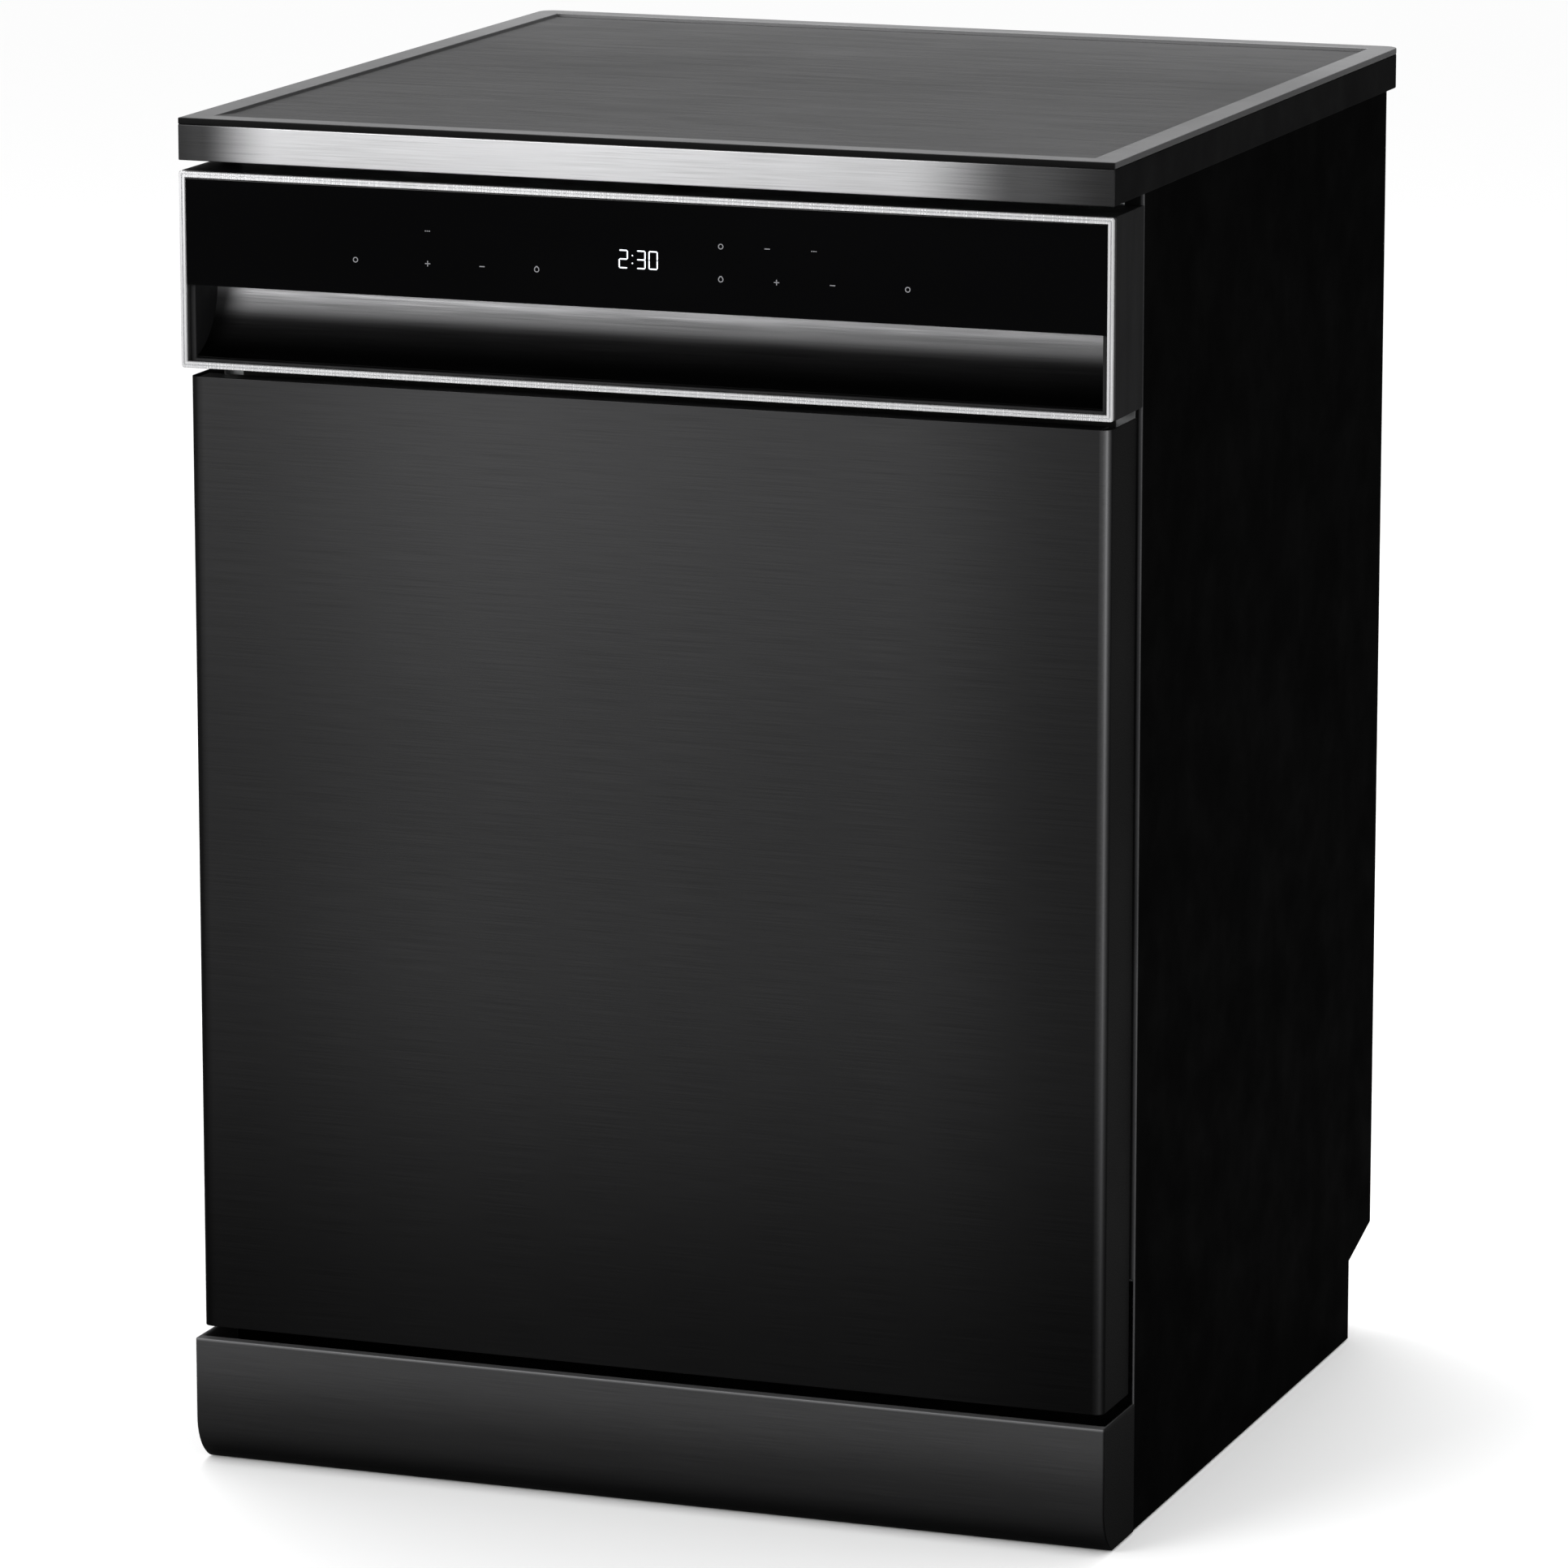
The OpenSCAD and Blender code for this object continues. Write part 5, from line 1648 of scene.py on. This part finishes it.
@dataclass
class CutleryBasket:
    """Lattice basket of six cells with a bowed handle."""

    wall: float = 2 * MM
    height: float = 112 * MM
    slat: float = 2.6 * MM
    pitch: float = 7.4 * MM
    bands: int = 5

    def build(self) -> None:
        """Builds the slats, the bands, the floor and the handle."""
        low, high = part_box("cutlery_basket")
        top = low.z + self.height
        walls_x = spaced(low.x, high.x - self.wall, 3)
        walls_y = spaced(low.y, high.y - self.wall, 4)
        shape = Shape()
        for z in spaced(low.z + 0.1 * MM, top - 4 * MM, self.bands):
            for x in walls_x:
                shape.block((x, low.y, z), (x + self.wall, high.y, z + 3.6 * MM), 0.3 * MM)
            for y in walls_y:
                shape.block((low.x, y, z + 0.2 * MM), (high.x, y + self.wall, z + 3.3 * MM), 0.3 * MM)
        shape.block((low.x, low.y, low.z), (high.x, high.y, low.z + 1.6 * MM), 0.4 * MM)
        add_piece("cutlery_bands", shape, GREY_PLASTIC, "cutlery_basket", ("cutlery_basket",))
        self.slats("lengthwise", low, top, walls_x, high.y - low.y, True)
        self.slats("crosswise", low, top, walls_y, high.x - low.x, False)
        self.handle(low, high, top)

    def slats(
        self, name: str, low: Vector, top: float, walls: list[float], run: float, lengthwise: bool
    ) -> None:
        """Repeats one upright slat along each wall.

        Args:
            name: What the walls are called.
            low: The basket's low corner.
            top: Height of the walls' upper edge.
            walls: Place of each wall.
            run: Length of each wall.
            lengthwise: Whether the walls run from front to back.
        """
        count = int(run / self.pitch)
        step = (run - self.slat) / (count - 1)
        apart = walls[1] - walls[0]
        inset = 0.25 * MM
        size = (self.wall - 2 * inset, self.slat) if lengthwise else (self.slat, self.wall - 2 * inset)
        start = (low.x + inset, low.y) if lengthwise else (low.x, low.y + inset)
        slat = Shape().block((*start, low.z + 1 * MM), (start[0] + size[0], start[1] + size[1], top - 1 * MM))
        label = "cutlery_slats_" + name
        piece = GRID.run(
            label, slat.data(label), GREY_PLASTIC, Columns=count,
            Column_Step=(0, step, 0) if lengthwise else (step, 0, 0), Rows=len(walls),
            Row_Step=(apart, 0, 0) if lengthwise else (0, apart, 0),
        )
        settle(piece, None, "cutlery_basket")

    def handle(self, low: Vector, high: Vector, top: float) -> None:
        """Bends the handle over the middle of the basket.

        Args:
            low: The basket's low corner.
            high: The basket's high corner.
            top: Height of the walls' upper edge.
        """
        x, radius = (low.x + high.x) / 2, 4 * MM
        front, back, crest = low.y + 20 * MM, high.y - 20 * MM, high.z - radius
        line = [(x, front, top - 6 * MM), (x, front, crest), (x, back, crest), (x, back, top - 6 * MM)]
        mesh = polylines("cutlery_handle", [line])
        piece = BENT_WIRE.run("cutlery_handle", mesh, GREY_PLASTIC, Radius=radius, Bend=14 * MM, Sides=14)
        settle(piece, None, "cutlery_basket")


@dataclass
class DoorSprings:
    """Counterbalance coil springs with their link rods, one on each side below the tub."""

    link: float = 79 * MM
    wire: float = 1.2 * MM
    pitch: float = 3.4 * MM

    def build(self) -> None:
        """Winds both springs and bends their rods."""
        low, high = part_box("door_springs")
        radius = (high.z - low.z) / 2 - self.wire
        z = (low.z + high.z) / 2
        start = low.y + self.link
        length = high.y - start - 2 * self.wire
        for side, way in (("left", -1), ("right", 1)):
            x = way * (high.x - radius - self.wire)
            empty = bpy.data.meshes.new("door_spring")
            coil = COIL.run(
                f"door_spring_{side}", empty, HARDWARE, Turns=length / self.pitch,
                Radius=radius - 0.3 * MM, Wire=self.wire, Length=length, Start=(x, start, z),
            )
            settle(coil, None, "door_springs", ("door_springs",) if way < 0 else ())
            line = [(x, low.y + self.wire, z), (x, start, z), (x, start + 2 * self.wire, z + radius * 0.9)]
            mesh = polylines("spring_rod", [line])
            rod = BENT_WIRE.run(
                f"spring_rod_{side}", mesh, HARDWARE, Radius=self.wire, Bend=2 * MM, Sides=10
            )
            settle(rod, None, "door_springs")


@dataclass
class Interior:
    """Tub fittings, baskets and spray arms."""

    def build(self) -> None:
        """Builds everything that the door closes in."""
        eased("tub_gasket", 1.4 * MM, 3)
        DoorSprings().build()
        eased("salt_cap", 1.0 * MM)
        eased("latch_housing", 0.5 * MM)
        Filters().build()
        SprayArm("lower_spray_arm", True, 5, 58 * MM).build()
        SprayArm("upper_spray_arm", True, 5, 56 * MM).build()
        SprayArm("top_sprayer", False, 2, 40 * MM).build()
        middle = sum(c.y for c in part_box("lower_spray_arm")) / 2
        LowerBasket("lower_basket", 100 * MM, -1, (
            (1, 6, middle - 170 * MM), (1, 6, middle - 85 * MM), (1, 10, middle + 160 * MM),
        )).build()
        UpperBasket("upper_basket", 108 * MM, 1, (
            (3, 8, middle - 110 * MM), (3, 8, middle + 60 * MM),
        )).build()
        FoldingTines().build()
        CutleryBasket().build()
        for shelf in ("cup_shelf_left", "cup_shelf_right"):
            eased(shelf, 0.6 * MM)
        for wheel in WHEELS:
            Wheel(wheel).build()


def dress_frame() -> None:
    """Gives every node of the frame its finish."""
    for node, finish in NODE_FINISHES.items():
        mesh = cad(node).data
        mesh.materials.clear()
        mesh.materials.append(finish.make())
    LOG.info("%d nodes dressed", len(NODE_FINISHES))


# ---- Studio --------------------------------------------------------------------------------


@dataclass
class Softbox:
    """A rectangular studio light."""

    name: str
    place: Point
    target: Point
    size: tuple[float, float]
    power: float

    def build(self) -> None:
        """Hangs the light and turns it to its target."""
        light = bpy.data.lights.new(self.name, "AREA")
        light.shape = "RECTANGLE"
        light.size, light.size_y = self.size
        light.energy = self.power
        lamp = bpy.data.objects.new(self.name, light)
        bpy.context.scene.collection.objects.link(lamp)
        lamp.location = self.place
        lamp.rotation_euler = (Vector(self.target) - Vector(self.place)).to_track_quat("-Z", "Y").to_euler()


def dimmed_in_mirrors(tree: bpy.types.NodeTree, plain: float, mirrored: float, target: Socket) -> None:
    """Feeds a grey to a socket, and a darker one where a mirror ray asks.

    Args:
        tree: Tree to build in.
        plain: Grey for every other ray.
        mirrored: Grey for mirror rays.
        target: Socket that takes the grey.
    """
    path = tree.nodes.new("ShaderNodeLightPath")
    mix = tree.nodes.new("ShaderNodeMix")
    mix.data_type = "RGBA"
    tones = [socket for socket in mix.inputs if socket.type == "RGBA"]
    tones[0].default_value = (plain, plain, plain, 1)
    tones[1].default_value = (mirrored, mirrored, mirrored, 1)
    tree.links.new(path.outputs["Is Glossy Ray"], mix.inputs["Factor"])
    tree.links.new(next(socket for socket in mix.outputs if socket.type == "RGBA"), target)


@dataclass
class Studio:
    """Pale floor, soft lights and the camera."""

    floor_radius: float = 40
    floor_steps: int = 96
    floor_depth: float = 0.02
    floor_tone: float = 0.94
    floor_mirrored: float = 0.1
    room_strength: float = 1.03
    room_mirrored: float = 0.07
    camera_place: Point = (1.8057, -4.9631, 1.5108)
    yaw: float = 20.163
    pitch: float = 11.892
    lens: float = 193.86

    def floor(self) -> None:
        """Lays the floor, which mirrors look at as dim so that dark paint stays dark."""
        shape = Shape()
        middle, rim = 0.01, self.floor_radius
        profile = ((middle, -self.floor_depth), (rim, -self.floor_depth), (rim, 0), (middle, 0))
        shape.lathe((0, 0, 0), Axis.Z, profile, self.floor_steps)
        floor = add_object("studio_floor", shape.data("studio_floor"))
        material = bpy.data.materials.new("studio_floor")
        material.use_nodes = True
        tree = material.node_tree
        surface = tree.nodes["Principled BSDF"]
        surface.inputs["Roughness"].default_value = 0.9
        surface.inputs["Specular IOR Level"].default_value = 0.0
        dimmed_in_mirrors(tree, self.floor_tone, self.floor_mirrored, surface.inputs["Base Color"])
        floor.data.materials.append(material)

    def surroundings(self) -> None:
        """Lights the room evenly, and dimly where it is mirrored."""
        world = bpy.data.worlds.new("studio")
        bpy.context.scene.world = world
        world.use_nodes = True
        tree = world.node_tree
        background = tree.nodes["Background"]
        dimmed_in_mirrors(tree, 1, self.room_mirrored, background.inputs["Color"])
        background.inputs["Strength"].default_value = self.room_strength

    def camera(self) -> None:
        """Sets the camera."""
        camera = bpy.data.objects.new("camera", bpy.data.cameras.new("camera"))
        bpy.context.scene.collection.objects.link(camera)
        camera.data.lens = self.lens
        camera.data.sensor_width = 36
        camera.location = self.camera_place
        camera.rotation_euler = (math.radians(90 - self.pitch), 0, math.radians(self.yaw))
        bpy.context.scene.camera = camera

    def build(self) -> None:
        """Builds the studio round the machine."""
        self.camera()
        self.floor()
        self.surroundings()
        bpy.context.scene.view_settings.view_transform = "Standard"
        Softbox("front_left_softbox", (-1.6, -3.2, 1.6), (0, -0.3, 0.6), (1.6, 1.4), 60).build()
        Softbox("right_strip", (2.4, -1.5, 0.9), (0.3, -0.3, 0.5), (0.4, 1.8), 20).build()
        Softbox("overhead_softbox", (-0.4, 1.2, 3.2), (0, 0, 0.85), (2.4, 2.0), 60).build()


def main() -> None:
    """Builds the studio and every sub-assembly in order."""
    logging.basicConfig(level=logging.INFO, format="%(name)s: %(message)s")
    Studio().build()
    dress_frame()
    for assembly in (Casing(), Fascia(), Door(), Interior()):
        LOG.info("building the %s", type(assembly).__name__.lower())
        assembly.build()


if __name__ == "__main__":
    main()
